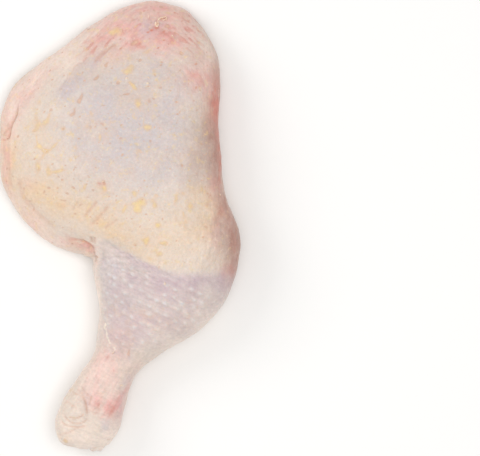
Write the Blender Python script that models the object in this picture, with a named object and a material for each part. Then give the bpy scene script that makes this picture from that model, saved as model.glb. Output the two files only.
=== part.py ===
"""A raw chicken leg quarter, thigh and drumstick in one piece, lying skin side up.

The leg is one closed skin-to-meat solid. It is lofted: a left and a right edge run from the
hip tip to the hock end, a rung joins them at every station, and a cross-section with a crowned
top and a flattened underside stands on each rung. Folds, creases and muscle seams are then
pressed into that surface. Sizes below are in millimetres: +X is across the leg, +Y runs
towards the hip, +Z is up, and the table is at z = 0.
"""

import math

import bpy
import numpy as np

NODE_NAME = "leg_quarter"
METRES = 0.001

# Stations number the rungs from the hip tip, 0, to the hock end, 28.
LAST_STATION = 28.0

# The outline seen from above, as landmarks of the two edges: (station, x, y).
LEFT_EDGE = (
    (0.0, 15.0, 115.0),  # hip tip
    (1.0, 4.4, 112.3),
    (2.0, -8.6, 106.2),
    (3.0, -24.0, 95.1),
    (4.0, -41.8, 82.3),
    (5.0, -53.8, 71.4),  # upper corner of the thigh flap
    (6.0, -59.8, 58.5),
    (8.0, -61.4, 37.6),  # widest place on the left
    (9.2, -60.0, 22.0),
    (10.4, -53.5, 9.0),
    (12.0, -36.1, -8.1),
    (14.0, -17.4, -15.5),
    (14.8, -14.2, -17.0),  # inner corner between thigh and drumstick
    (15.6, -14.4, -20.6),
    (18.0, -11.3, -44.0),
    (20.0, -13.2, -61.3),
    (22.0, -25.6, -81.6),
    (24.0, -33.4, -100.6),  # ankle knob
    (25.2, -30.9, -110.1),
    (26.6, -21.8, -114.2),
    (28.0, -14.5, -115.0),  # hock end
)
RIGHT_EDGE = (
    (0.0, 15.0, 115.0),
    (1.0, 28.6, 112.3),
    (2.0, 37.8, 105.9),
    (3.0, 45.9, 93.7),
    (4.5, 50.9, 74.3),
    (7.0, 49.8, 46.7),  # hollow behind the thigh
    (9.0, 51.9, 24.2),
    (10.0, 54.2, 12.3),
    (12.0, 60.8, -3.3),
    (13.5, 61.4, -11.4),  # knee
    (16.0, 58.7, -24.3),
    (18.0, 47.2, -46.8),  # calf
    (20.0, 21.1, -66.0),
    (21.2, 8.4, -75.4),
    (23.0, 1.3, -93.9),
    (25.0, -4.2, -109.4),
    (26.6, -8.7, -114.1),
    (28.0, -14.5, -115.0),
)

# Heights above the table: (station, height).
CROWN = (
    (0.0, 11.0),
    (2.0, 19.0),
    (4.0, 29.0),
    (6.0, 36.0),
    (8.5, 39.0),
    (12.0, 38.5),
    (15.0, 38.0),
    (18.0, 35.0),
    (20.0, 28.5),
    (22.0, 23.5),
    (24.0, 27.0),
    (28.0, 23.0),
)
LEFT_RIM = ((0.0, 6.5), (4.0, 8.0), (10.0, 7.5), (13.0, 7.5), (16.0, 14.0), (20.0, 15.0), (28.0, 13.0))
RIGHT_RIM = ((0.0, 6.5), (4.0, 11.0), (9.0, 15.0), (14.0, 17.0), (18.0, 16.0), (22.0, 14.0), (28.0, 13.0))
UNDER_SHANK = ((0.0, 0.0), (18.6, 0.0), (20.4, 3.0), (22.0, 5.0), (23.0, 2.5), (24.2, 0.0), (28.0, 0.0))
HIP_ROUNDING = 9.0  # how far from the hip tip the thickness closes
HOCK_ROUNDING = 9.0

# Form of the cross-section: how far the crown leans to the right, and how it falls to each rim.
LEAN = ((0.0, 0.05), (5.0, 0.16), (12.0, 0.18), (17.0, 0.05), (28.0, 0.0))
LEFT_FALL = ((0.0, 0.62), (6.0, 0.76), (12.0, 0.72), (16.0, 0.5), (28.0, 0.5))
LEFT_CURVE = 1.7
RIGHT_CURVE = 2.5
RIGHT_FALL = 0.5
UNDER_FLATNESS = 4.0

# Creases pressed into the top: (path, depth, half width), each path a few (x, y) places.
CREASES = (
    # the thigh's thick skin folds over the thin skin of the drumstick
    (((-12.9, -10.9), (-7.9, -9.0), (0.0, -11.5), (7.5, -16.5), (15.0, -21.6), (25.3, -25.1), (40.5, -26.2),
      (53.3, -20.1)), 1.3, 2.6),
    # fold in the skin of the left rim, which notches the outline
    (((-53.7, 61.0), (-55.2, 52.9), (-56.7, 48.3), (-61.8, 43.1), (-66.5, 38.5)), 1.6, 1.5),
    # faint fold under the hip
    (((-6.3, 87.0), (-12.9, 80.9), (-23.1, 75.2), (-30.8, 67.6)), 0.6, 2.6),
    # slanting creases of the slack skin at the lower left
    (((-14.0, 10.5), (-18.0, 4.4)), 0.7, 1.4),
    (((-5.8, 8.5), (-14.0, 0.9)), 0.8, 1.4),
    (((-0.7, 3.4), (-4.8, -0.2)), 0.6, 1.3),
    # creases of the ankle
    (((-16.3, -83.4), (-18.4, -88.8), (-17.6, -93.9)), 0.8, 1.5),
    (((-29.7, -92.0), (-23.5, -94.5), (-15.3, -98.7)), 0.6, 1.5),
    (((-23.5, -81.9), (-15.8, -82.9), (-8.6, -89.1)), 0.5, 1.5),
)

# Steps in the top: (path, drop, half width); the surface to the right of the path lies lower.
STEPS = (
    # the skin ends short of the meat at the lower left
    (((-31.8, -4.2), (-27.7, -5.9), (-20.6, -7.1), (-16.5, -8.8), (-13.8, -12.1)), 1.8, 0.9),
    # the drumstick's thin skin lies lower than the thigh's
    (((-7.9, -9.0), (0.0, -11.5), (7.5, -16.5), (15.0, -21.6), (25.3, -25.1), (40.5, -26.2), (53.3, -20.1)),
     1.1, 2.5),
)

# Broad dents of the top: (x, y, radius along x, radius along y, depth).
DENTS = (
    (23.0, 101.6, 14.4, 7.7, 1.0),  # thin torn skin over the hip joint
    (5.8, 92.0, 11.5, 6.7, 0.8),
    (45.0, 7.7, 9.6, 15.3, 1.2),  # hollow above the knee
    (-13.4, -59.4, 5.8, 13.4, 1.0),  # beside the shin tendon
)

# Uneven flesh: (height, wavelength, direction in degrees, phase) of each slow wave.
WAVES = (
    (0.40, 47.0, 24.0, 0.4),
    (0.32, 33.0, 101.0, 2.1),
    (0.22, 21.0, 63.0, 4.0),
    (0.16, 15.0, 148.0, 1.2),
)

# The underside: the skin's edge, the seams between the muscles, and how unevenly they lie.
SKIN_EDGE_ACROSS = 0.74  # where the skin ends under the thigh, as a share of the half width
SKIN_EDGE_DEPTH = 1.8
SEAM_ACROSS = (-0.28, 0.24)
SEAM_DEPTH = 2.6
SEAM_HALF_WIDTH = 0.055
MEAT_STATIONS = (2.5, 15.0)  # where meat shows underneath
MUSCLE_SWELL = 1.1
FLAT_SHARE = 0.3  # how much of the swelling is pressed flat by the table
PRESSED = 0.4  # how far the leg's own weight flattens it

# The relief of the top fades out between these upward parts of the surface's normal.
RELIEF_FADE = (-0.45, 0.1)

RINGS = 90
TOP_POINTS = 34
UNDER_POINTS = 20
DENSE = 360

SKIN_COLOUR = (0.78, 0.62, 0.53, 1.0)
SKIN_ROUGHNESS = 0.42


def smooth_curve(knots, at, steady=False):
    """A cubic through the knots (place, value, ...), with each knot's slope from its neighbours.

    A steady curve is level at a knot where its value turns, so it never passes beyond the knots.
    """
    table = np.array(knots, dtype=float)
    places = table[:, 0]
    values = table[:, 1:]
    gaps = np.diff(places)[:, None]
    slopes = np.diff(values, axis=0) / gaps
    tangents = np.empty_like(values)
    tangents[1:-1] = (slopes[:-1] * gaps[1:] + slopes[1:] * gaps[:-1]) / (gaps[:-1] + gaps[1:])
    tangents[0] = 1.5 * slopes[0] - 0.5 * tangents[1]
    tangents[-1] = 1.5 * slopes[-1] - 0.5 * tangents[-2]
    if steady:
        gentlest = 2.0 * np.minimum(np.abs(slopes[:-1]), np.abs(slopes[1:]))
        turning = slopes[:-1] * slopes[1:] <= 0.0
        tangents[1:-1] = np.clip(tangents[1:-1], -gentlest, gentlest)
        tangents[1:-1][turning] = 0.0
        tangents[0] = slopes[0]
        tangents[-1] = slopes[-1]
    first = np.clip(np.searchsorted(places, at, side="right") - 1, 0, len(places) - 2)
    step = gaps[first]
    f = (np.asarray(at) - places[first])[:, None] / step
    return (
        (2 * f**3 - 3 * f**2 + 1) * values[first]
        + (f**3 - 2 * f**2 + f) * step * tangents[first]
        + (3 * f**2 - 2 * f**3) * values[first + 1]
        + (f**3 - f**2) * step * tangents[first + 1]
    )


def smooth_value(knots, at):
    """A steady smooth_curve for knots that hold one value each."""
    return smooth_curve(knots, at, steady=True)[:, 0]


def ease(value, low, high):
    """0 below low, 1 above high, and a smooth rise between them."""
    f = np.clip((value - low) / (high - low), 0.0, 1.0)
    return f * f * (3.0 - 2.0 * f)


def closing(distance, rounding):
    """A quarter circle: 0 at an end of the leg, 1 from one rounding away."""
    f = np.clip(distance / rounding, 0.0, 1.0)
    return np.sqrt(1.0 - (1.0 - f) ** 2)


def ring_stations(count):
    """Stations of the rings between the two poles, about evenly far apart on the surface."""
    fine = np.linspace(0.0, LAST_STATION, 1500)
    left = smooth_curve(LEFT_EDGE, fine)
    right = smooth_curve(RIGHT_EDGE, fine)
    middle = 0.5 * (left + right)
    steps = sum(np.linalg.norm(np.diff(edge, axis=0), axis=1) for edge in (left, right, middle, middle))
    travelled = np.concatenate([[0.0], np.cumsum(steps)])
    wanted = np.linspace(0.0, travelled[-1], count + 2)[1:-1]
    return np.interp(wanted, travelled, fine)


def resampled(points, count):
    """Points of a polyline at equal lengths along it, its two ends included."""
    steps = np.linalg.norm(np.diff(points, axis=0), axis=1)
    travelled = np.concatenate([[0.0], np.cumsum(steps)])
    wanted = np.linspace(0.0, travelled[-1], count)
    return np.stack([np.interp(wanted, travelled, points[:, k]) for k in range(points.shape[1])], axis=1)


def rim_height(station, across):
    """Height of the widest place of the section, from the left rim at -1 to the right one at +1."""
    left = smooth_value(LEFT_RIM, station)
    right = smooth_value(RIGHT_RIM, station)
    return left + (right - left) * 0.5 * (across + 1.0)


def top_height(station, across):
    """Height of the crowned top over a place across the rung, from -1 to +1."""
    rim = rim_height(station, across)
    crown = smooth_value(CROWN, station)
    fall = np.where(across < 0.0, smooth_value(LEFT_FALL, station), RIGHT_FALL)
    curve = np.where(across < 0.0, LEFT_CURVE, RIGHT_CURVE)
    dome = np.clip(1.0 - np.abs(across) ** curve, 0.0, 1.0) ** fall
    return rim + (crown - rim) * dome


def meat_share(station):
    """1 where the underside shows meat, 0 where skin wraps the leg all round."""
    first, last = MEAT_STATIONS
    return ease(station, first - 1.0, first + 1.0) * (1.0 - ease(station, last - 1.0, last + 1.0))


def under_height(station, across):
    """Height of the underside: rounded in from the rims, then flat pads parted by seams."""
    rim = rim_height(station, across)
    hollow = np.sqrt(np.clip(1.0 - np.abs(across) ** UNDER_FLATNESS, 0.0, 1.0))
    base = rim * (1.0 - hollow) + (smooth_value(UNDER_SHANK, station) - PRESSED) * hollow
    seams = np.zeros_like(across)
    for index, place in enumerate(SEAM_ACROSS):
        wandering = place + 0.08 * np.sin(0.55 * station + 2.4 * index)
        seams += SEAM_DEPTH * np.exp(-(((across - wandering) / SEAM_HALF_WIDTH) ** 2))
    edge = SKIN_EDGE_DEPTH * np.exp(-(((np.abs(across) - SKIN_EDGE_ACROSS) / 0.04) ** 2))
    uneven = np.sin(1.1 * station + 5.0 * across) * np.sin(7.0 * across - 0.6 * station)
    swell = MUSCLE_SWELL * (uneven - FLAT_SHARE)
    return np.maximum(0.0, base + meat_share(station) * (seams + edge + swell * hollow))


def section(station):
    """One closed ring of points round the leg, from the left rim over the top and back under."""
    angle = np.linspace(math.pi, 0.0, DENSE)
    across = np.cos(angle)
    stations = np.full(DENSE, station)
    left = smooth_curve(LEFT_EDGE, [station])[0]
    right = smooth_curve(RIGHT_EDGE, [station])[0]
    hip_y = LEFT_EDGE[0][2]
    hock_y = LEFT_EDGE[-1][2]
    middle_y = 0.5 * (left[1] + right[1])
    close = closing(hip_y - middle_y, HIP_ROUNDING) * closing(middle_y - hock_y, HOCK_ROUNDING)
    rim = rim_height(stations, across)
    leaned = across + smooth_value(LEAN, stations) * (1.0 - across**2)
    halves = []
    for shift, height in ((leaned, top_height(stations, across)), (across, under_height(stations, across))):
        plan = left + (right - left) * (0.5 * (shift + 1.0))[:, None]
        halves.append(np.column_stack([plan, rim + (height - rim) * close]))
    top = resampled(halves[0], TOP_POINTS)
    under = resampled(halves[1][::-1], UNDER_POINTS + 2)[1:-1]
    return np.concatenate([top, under])


def path_offset(points, path):
    """For each (x, y) point: its distance from the path, positive to the right of it, and the
    share of the path's length at the nearest place."""
    knots = [(index, *place) for index, place in enumerate(path)]
    line = smooth_curve(knots, np.linspace(0.0, len(path) - 1.0, 12 * len(path)))
    start = line[:-1]
    run = np.diff(line, axis=0)
    length = np.linalg.norm(run, axis=1)
    toward = points[:, None, :] - start[None]
    share = np.clip((toward * run).sum(axis=2) / length**2, 0.0, 1.0)
    away = toward - share[:, :, None] * run
    distance = np.linalg.norm(away, axis=2)
    nearest = distance.argmin(axis=1)
    rows = np.arange(len(points))
    side = toward[rows, nearest, 0] * run[nearest, 1] - toward[rows, nearest, 1] * run[nearest, 0]
    travelled = np.concatenate([[0.0], np.cumsum(length)])
    along = (travelled[nearest] + share[rows, nearest] * length[nearest]) / travelled[-1]
    return distance[rows, nearest] * np.where(side < 0.0, -1.0, 1.0), along


def relief(points, upward):
    """How far the surface moves out along its normal; upward is 1 on the top and 0 underneath."""
    plan = points[:, :2]
    move = np.zeros(len(points))
    for path, depth, width in CREASES:
        offset, along = path_offset(plan, path)
        fade = ease(along, 0.0, 0.15) * (1.0 - ease(along, 0.85, 1.0))
        move -= depth * fade * np.exp(-((offset / width) ** 2))
    for path, drop, width in STEPS:
        offset, along = path_offset(plan, path)
        reach = np.exp(-((offset / (9.0 * width)) ** 2))
        fade = ease(along, 0.0, 0.12) * (1.0 - ease(along, 0.88, 1.0))
        move -= drop * fade * reach * ease(offset, -width, width)
    for x, y, wide, long, depth in DENTS:
        reach = ((plan[:, 0] - x) / wide) ** 2 + ((plan[:, 1] - y) / long) ** 2
        move -= depth * np.exp(-reach)
    for height, wavelength, degrees, phase in WAVES:
        turn = math.radians(degrees)
        run = plan[:, 0] * math.cos(turn) + plan[:, 1] * math.sin(turn)
        move += height * np.sin(2.0 * math.pi * run / wavelength + phase)
    return move * upward


def grid_normals(rings):
    """Outward unit normals of the rings' points, from the differences along and round the leg."""
    along = np.gradient(rings, axis=0)
    round_it = np.roll(rings, -1, axis=1) - np.roll(rings, 1, axis=1)
    normal = np.cross(along, round_it)
    return normal / np.maximum(np.linalg.norm(normal, axis=2, keepdims=True), 1e-9)


def leg_points():
    """All the rings of the leg with the relief pressed in, and the two poles."""
    rings = np.array([section(station) for station in ring_stations(RINGS)])
    normals = grid_normals(rings)
    upward = ease(normals[:, :, 2], *RELIEF_FADE)
    moved = relief(rings.reshape(-1, 3), upward.reshape(-1)).reshape(upward.shape)
    rings = rings + normals * moved[:, :, None]
    rings[:, :, 2] = np.maximum(rings[:, :, 2], 0.0)
    hip = np.array([LEFT_EDGE[0][1], LEFT_EDGE[0][2], LEFT_RIM[0][1]])
    hock = np.array([LEFT_EDGE[-1][1], LEFT_EDGE[-1][2], LEFT_RIM[-1][1]])
    return rings, hip, hock


def leg_faces(rings, around):
    """Quads between the rings and a fan of triangles round each pole."""
    faces = []
    hip = rings * around
    hock = hip + 1
    for ring in range(rings - 1):
        for place in range(around):
            here = ring * around + place
            beside = ring * around + (place + 1) % around
            faces.append((here, here + around, beside + around, beside))
    for place in range(around):
        beside = (place + 1) % around
        faces.append((hip, place, beside))
        faces.append((hock, (rings - 1) * around + beside, (rings - 1) * around + place))
    return faces


def skin_material():
    """Damp raw chicken skin."""
    material = bpy.data.materials.new("raw_skin")
    material.use_nodes = True
    shader = material.node_tree.nodes["Principled BSDF"]
    shader.inputs["Base Color"].default_value = SKIN_COLOUR
    shader.inputs["Roughness"].default_value = SKIN_ROUGHNESS
    shader.inputs["Metallic"].default_value = 0.0
    return material


def centred(points):
    """The points moved so that the middle of their box is over the origin, on z = 0."""
    low = points.min(axis=0)
    high = points.max(axis=0)
    return points - [0.5 * (low[0] + high[0]), 0.5 * (low[1] + high[1]), low[2]]


def build_leg():
    """The leg quarter as one closed mesh object."""
    rings, hip, hock = leg_points()
    count, around = rings.shape[:2]
    points = centred(np.concatenate([rings.reshape(-1, 3), [hip, hock]]))
    mesh = bpy.data.meshes.new(NODE_NAME)
    mesh.from_pydata((points * METRES).tolist(), [], leg_faces(count, around))
    mesh.shade_smooth()
    mesh.materials.append(skin_material())
    leg = bpy.data.objects.new(NODE_NAME, mesh)
    bpy.context.scene.collection.objects.link(leg)
    return leg


def main():
    """Clears the scene and builds the leg quarter."""
    for old in list(bpy.data.objects):
        bpy.data.objects.remove(old)
    build_leg()


main()
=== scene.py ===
"""The looks of a raw chicken leg quarter, lying skin side up on a pale surface.

The leg's form is a loft: a left and a right edge seen from above, a rung between them at every
station from the hip tip to the hock end, and a crowned cross-section on every rung. The skin is
one dense surface over that loft, with its folds, goose bumps and pores as relief and its colours
as painted masks. The meat, the torn bits and the joint end are pieces of their own.
Sizes in the classes are millimetres in the frame of the CAD model; meshes are made in metres.
"""

import logging
import math
from dataclasses import dataclass, field
from enum import Enum
from typing import Any, Callable, Iterable

import bpy
import numpy as np
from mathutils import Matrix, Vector


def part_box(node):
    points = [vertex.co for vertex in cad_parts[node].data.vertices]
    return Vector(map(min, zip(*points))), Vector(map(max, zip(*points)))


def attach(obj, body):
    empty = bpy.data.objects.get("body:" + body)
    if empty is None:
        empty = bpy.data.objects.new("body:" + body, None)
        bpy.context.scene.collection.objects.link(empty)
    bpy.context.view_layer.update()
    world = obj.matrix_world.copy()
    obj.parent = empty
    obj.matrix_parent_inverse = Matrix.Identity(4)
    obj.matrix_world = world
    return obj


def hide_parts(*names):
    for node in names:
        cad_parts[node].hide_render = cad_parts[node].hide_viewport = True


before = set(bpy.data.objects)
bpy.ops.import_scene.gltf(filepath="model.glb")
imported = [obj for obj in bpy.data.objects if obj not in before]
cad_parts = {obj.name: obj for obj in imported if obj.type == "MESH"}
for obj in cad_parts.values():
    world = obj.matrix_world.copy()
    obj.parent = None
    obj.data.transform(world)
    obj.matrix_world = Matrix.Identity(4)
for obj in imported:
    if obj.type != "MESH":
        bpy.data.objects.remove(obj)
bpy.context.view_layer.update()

NODE = "leg_quarter"
BODY = "root"
METRES = 0.001
MM = 1000.0
# Distance between rows of dots as a share of the distance along a row.
ROW_SHARE = 0.87
# A mask may go past 1, where two of its causes meet.
HIGHEST_MASK = 1.6
# Depth of the finest relief, which only the materials draw.
BUMP_HEIGHT = 0.3 * METRES

log = logging.getLogger("leg_quarter")

Places = tuple[tuple[float, ...], ...]
Band = tuple[float, float]
Strokes = tuple[tuple[Places, float, float], ...]
Masks = dict[str, np.ndarray]
Tube = tuple[np.ndarray, np.ndarray]


# ---------------------------------------------------------------------------------------------
# Curves, noise and patterns, all as whole arrays
# ---------------------------------------------------------------------------------------------


def smooth_curve(knots: Places, at: np.ndarray, steady: bool = False) -> np.ndarray:
    """A cubic through knots, each knot's slope worked out from its neighbours.

    Args:
        knots: rows of (place, value, ...), in rising order of place.
        at: the places to read, of any shape.
        steady: True for a curve that is level wherever its knots turn, and so never passes them.

    Returns:
        The values, shaped as at with one more axis.
    """
    table = np.array(knots, dtype=float)
    places, values = table[:, 0], table[:, 1:]
    gaps = np.diff(places)[:, None]
    slopes = np.diff(values, axis=0) / gaps
    tangents = np.zeros_like(values)
    tangents[1:-1] = (slopes[:-1] * gaps[1:] + slopes[1:] * gaps[:-1]) / (gaps[:-1] + gaps[1:])
    tangents[0] = 1.5 * slopes[0] - 0.5 * tangents[1]
    tangents[-1] = 1.5 * slopes[-1] - 0.5 * tangents[-2]
    if steady:
        gentlest = 2.0 * np.minimum(np.abs(slopes[:-1]), np.abs(slopes[1:]))
        turning = slopes[:-1] * slopes[1:] <= 0.0
        tangents[1:-1] = np.clip(tangents[1:-1], -gentlest, gentlest)
        tangents[1:-1][turning] = 0.0
        tangents[0], tangents[-1] = slopes[0], slopes[-1]
    shape = np.shape(at)
    flat = np.ravel(at)
    first = np.clip(np.searchsorted(places, flat, side="right") - 1, 0, len(places) - 2)
    step = gaps[first]
    f = (flat - places[first])[:, None] / step
    read = (
        (2 * f**3 - 3 * f**2 + 1) * values[first]
        + (f**3 - 2 * f**2 + f) * step * tangents[first]
        + (3 * f**2 - 2 * f**3) * values[first + 1]
        + (f**3 - f**2) * step * tangents[first + 1]
    )
    return read.reshape(*shape, values.shape[1])


def smooth_value(knots: Places, at: np.ndarray) -> np.ndarray:
    """A steady smooth_curve for knots that hold one value each."""
    return smooth_curve(knots, at, steady=True)[..., 0]


def path_curve(path: Places, at: np.ndarray) -> np.ndarray:
    """The smooth path through places, read at 0 for the first place, 1 for the next and so on."""
    return smooth_curve(tuple((index, *place) for index, place in enumerate(path)), at)


def ease(value: np.ndarray, low: float, high: float) -> np.ndarray:
    """0 below low, 1 above high, and a smooth rise between them."""
    f = np.clip((value - low) / (high - low), 0.0, 1.0)
    return f * f * (3.0 - 2.0 * f)


def bell(distance: np.ndarray, width: float) -> np.ndarray:
    """A round hump: exp(-(distance / width) squared)."""
    return np.exp(-((distance / width) ** 2))


def turned(x: np.ndarray, y: np.ndarray, degrees: float) -> tuple[np.ndarray, np.ndarray]:
    """Places read along a direction and across it."""
    turn = math.radians(degrees)
    return x * math.cos(turn) + y * math.sin(turn), y * math.cos(turn) - x * math.sin(turn)


def hashed(ix: np.ndarray, iy: np.ndarray, seed: int) -> np.ndarray:
    """A fixed number from 0 to 1 for each whole-numbered cell: the fraction of a large sine."""
    mixed = np.sin(ix * 127.1 + iy * 311.7 + seed * 74.7) * 43758.5453
    return mixed - np.floor(mixed)


def noise(x: np.ndarray, y: np.ndarray, cell: float, seed: int, octaves: int = 3) -> np.ndarray:
    """Value noise: hashed numbers on a square lattice, eased between, in halving octaves.

    Args:
        x: places across, in millimetres.
        y: places along, in millimetres.
        cell: the lattice's spacing in its first octave, in millimetres.
        seed: picks the pattern.
        octaves: how many finer layers are added, each half as wide and half as strong.

    Returns:
        Numbers from about -1 to 1, shaped as x.
    """
    total = np.zeros_like(x)
    share, norm = 1.0, 0.0
    for octave in range(octaves):
        u, v = x / cell + 17.3 * octave, y / cell - 9.1 * octave
        iu, iv = np.floor(u), np.floor(v)
        fu, fv = u - iu, v - iv
        fu, fv = fu * fu * (3.0 - 2.0 * fu), fv * fv * (3.0 - 2.0 * fv)
        low = hashed(iu, iv, seed) * (1.0 - fu) + hashed(iu + 1, iv, seed) * fu
        high = hashed(iu, iv + 1, seed) * (1.0 - fu) + hashed(iu + 1, iv + 1, seed) * fu
        total += share * (2.0 * (low * (1.0 - fv) + high * fv) - 1.0)
        norm += share
        share *= 0.5
        cell *= 0.5
    return total / norm


def streaks(x: np.ndarray, y: np.ndarray, angle: np.ndarray, cell: float, seed: int) -> np.ndarray:
    """Noise smeared along a direction: the mean of seven readings in a line along the angle."""
    total = sum(
        noise(x + k * 0.6 * cell * np.cos(angle), y + k * 0.6 * cell * np.sin(angle), cell, seed, 2)
        for k in range(-3, 4)
    )
    return total / 3.5


def dots(
    x: np.ndarray, y: np.ndarray, spacing: float, radius: float, seed: int, turn: float = 0.0,
    jitter: float = 0.35, keep: float = 1.0, squeeze: float = 1.0,
) -> np.ndarray:
    """Round dots on a jittered lattice in offset rows, as feather follicles stand in rows.

    Each place looks at the nine cells round it and keeps the strongest dot: its height times
    exp(-(distance / radius) squared).

    Args:
        x: places across, in millimetres.
        y: places along, in millimetres.
        spacing: distance between the rows' dots.
        radius: where a dot has fallen to about a third.
        seed: picks the pattern.
        turn: direction of the rows, in degrees.
        jitter: how far a dot strays, as a share of the spacing.
        keep: share of the dots that are there at all.
        squeeze: length of a dot across its row as a share of its length along it.

    Returns:
        Heights from 0 to 1, shaped as x.
    """
    u, v = turned(x, y, turn)
    row_gap = spacing * ROW_SHARE
    u, v = u / spacing, v / row_gap
    row = np.floor(v)
    best = np.zeros_like(x)
    for dv in (-1, 0, 1):
        line = row + dv
        shift = 0.5 * (line % 2)
        cell = np.floor(u - shift)
        for du in (-1, 0, 1):
            here = cell + du
            off_u = (hashed(here, line, seed) - 0.5) * 2.0 * jitter
            off_v = (hashed(here, line, seed + 1) - 0.5) * 2.0 * jitter
            far_u = (u - (here + 0.5 + shift + off_u)) * spacing
            far_v = (v - (line + 0.5 + off_v)) * row_gap / squeeze
            size = 0.75 + 0.5 * hashed(here, line, seed + 2)
            there = hashed(here, line, seed + 3) < keep
            height = (0.6 + 0.4 * hashed(here, line, seed + 4)) * there
            best = np.maximum(best, height * np.exp(-(far_u**2 + far_v**2) / (radius * size) ** 2))
    return best


def path_offset(x: np.ndarray, y: np.ndarray, path: Places) -> tuple[np.ndarray, np.ndarray]:
    """How far places lie from a smooth path, and how far along it.

    Args:
        x: places across, flat.
        y: places along, flat.
        path: the (x, y) places that the path passes.

    Returns:
        The distance, positive to the right of the path, and the share of its length.
    """
    line = path_curve(path, np.linspace(0.0, len(path) - 1.0, 8 * len(path)))
    start, run = line[:-1], np.diff(line, axis=0)
    length = np.linalg.norm(run, axis=1)
    to_x = x[:, None] - start[None, :, 0]
    to_y = y[:, None] - start[None, :, 1]
    share = np.clip((to_x * run[:, 0] + to_y * run[:, 1]) / length**2, 0.0, 1.0)
    distance = np.hypot(to_x - share * run[:, 0], to_y - share * run[:, 1])
    nearest = distance.argmin(axis=1)
    rows = np.arange(len(x))
    side = to_x[rows, nearest] * run[nearest, 1] - to_y[rows, nearest] * run[nearest, 0]
    travelled = np.concatenate([[0.0], np.cumsum(length)])
    along = (travelled[nearest] + share[rows, nearest] * length[nearest]) / travelled[-1]
    return distance[rows, nearest] * np.where(side < 0.0, -1.0, 1.0), along


def along_path(
    x: np.ndarray, y: np.ndarray, path: Places, reach: float, ends: float,
    profile: Callable[[np.ndarray], np.ndarray],
) -> np.ndarray:
    """A cross-section carried along a path, fading out towards both ends.

    Args:
        x: places across, flat.
        y: places along, flat.
        path: the (x, y) places that the path passes.
        reach: how far from the path's box places are still measured.
        ends: the share of the path's length over which each end fades.
        profile: the height at a distance, which is positive to the right of the path.

    Returns:
        Heights, 0 out of reach.
    """
    line = np.array(path)
    low, high = line.min(axis=0) - reach, line.max(axis=0) + reach
    close = (x > low[0]) & (x < high[0]) & (y > low[1]) & (y < high[1])
    out = np.zeros_like(x)
    if close.any():
        offset, along = path_offset(x[close], y[close], path)
        fade = ease(along, 0.0, ends) * (1.0 - ease(along, 1.0 - ends, 1.0))
        out[close] = fade * profile(offset)
    return out


def crease(x: np.ndarray, y: np.ndarray, path: Places, width: float) -> np.ndarray:
    """A groove along a path: a bell of the distance from it."""
    return along_path(x, y, path, 3.0 * width, 0.15, lambda far: bell(far, width))


def step_down(x: np.ndarray, y: np.ndarray, path: Places, width: float, reach: float) -> np.ndarray:
    """A step along a path: 0 on its left, 1 on its right, gone again a reach away."""
    return along_path(
        x, y, path, 2.5 * reach, 0.12, lambda far: bell(far, reach) * ease(far, -width, width)
    )


def patches(x: np.ndarray, y: np.ndarray, spots: Places) -> np.ndarray:
    """Soft ovals laid over each other, each exp(-r squared) times its strength.

    Args:
        x: places across.
        y: places along.
        spots: rows of (x, y, half length, half width, degrees, strength).

    Returns:
        Cover from 0 to 1: 1 minus the product of what each oval leaves bare.
    """
    bare = np.ones_like(x)
    for px, py, long, wide, degrees, strength in spots:
        u, v = turned(x - px, y - py, degrees)
        bare *= 1.0 - strength * np.exp(-((u / long) ** 2 + (v / wide) ** 2))
    return 1.0 - bare


def marked(x: np.ndarray, y: np.ndarray, spots: Places, strokes: Strokes) -> np.ndarray:
    """Spots and strokes together: the ovals' cover, or a stroke's where that is stronger.

    Args:
        x: places across, flat.
        y: places along, flat.
        spots: ovals, as patches takes them.
        strokes: rows of (path, width, strength).

    Returns:
        Cover from 0 to 1.
    """
    cover = patches(x, y, spots)
    for path, width, strength in strokes:
        cover = np.maximum(cover, strength * crease(x, y, path, width))
    return cover


# ---------------------------------------------------------------------------------------------
# The leg's form
# ---------------------------------------------------------------------------------------------


@dataclass
class Surface:
    """A grid of points on the leg: rings from the hip to the hock, places round each ring.

    Attributes:
        points: (rings, places, 3) positions in millimetres.
        round_mm: distance round the ring from its crown, positive to the right.
        upward: 1 on the top and the sides, 0 underneath.
        normal: outward unit normals.
        poles: the two points that close the ends.
    """

    points: np.ndarray
    round_mm: np.ndarray
    upward: np.ndarray
    normal: np.ndarray
    poles: np.ndarray

    def flat(self) -> tuple[np.ndarray, ...]:
        """Places across and along, the distance round and the upward share, each as one row."""
        across, along = self.points[..., 0], self.points[..., 1]
        return tuple(values.ravel() for values in (across, along, self.round_mm, self.upward))

    def height_at(self, x: np.ndarray, y: np.ndarray) -> np.ndarray:
        """Height of the top under flat places: the nearest point's tangent plane read there."""
        seen = self.normal[..., 2] > 0.15
        points, normal = self.points[seen], self.normal[seen]
        far = (points[None, :, 0] - x[:, None]) ** 2 + (points[None, :, 1] - y[:, None]) ** 2
        near = far.argmin(axis=1)
        slope = normal[near, 0] * (x - points[near, 0]) + normal[near, 1] * (y - points[near, 1])
        return points[near, 2] - slope / normal[near, 2]


def grid_normals(points: np.ndarray) -> np.ndarray:
    """Outward unit normals of a grid: the cross product of its differences along and round."""
    along = np.gradient(points, axis=0)
    round_it = np.roll(points, -1, axis=1) - np.roll(points, 1, axis=1)
    normal = np.cross(along, round_it)
    return normal / np.maximum(np.linalg.norm(normal, axis=2, keepdims=True), 1e-9)


def travel(rows: np.ndarray) -> np.ndarray:
    """Distance travelled along each row of points, 0 at its first."""
    steps = np.linalg.norm(np.diff(rows[..., :3], axis=1), axis=2)
    return np.concatenate([np.zeros((len(rows), 1)), np.cumsum(steps, axis=1)], axis=1)


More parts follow.
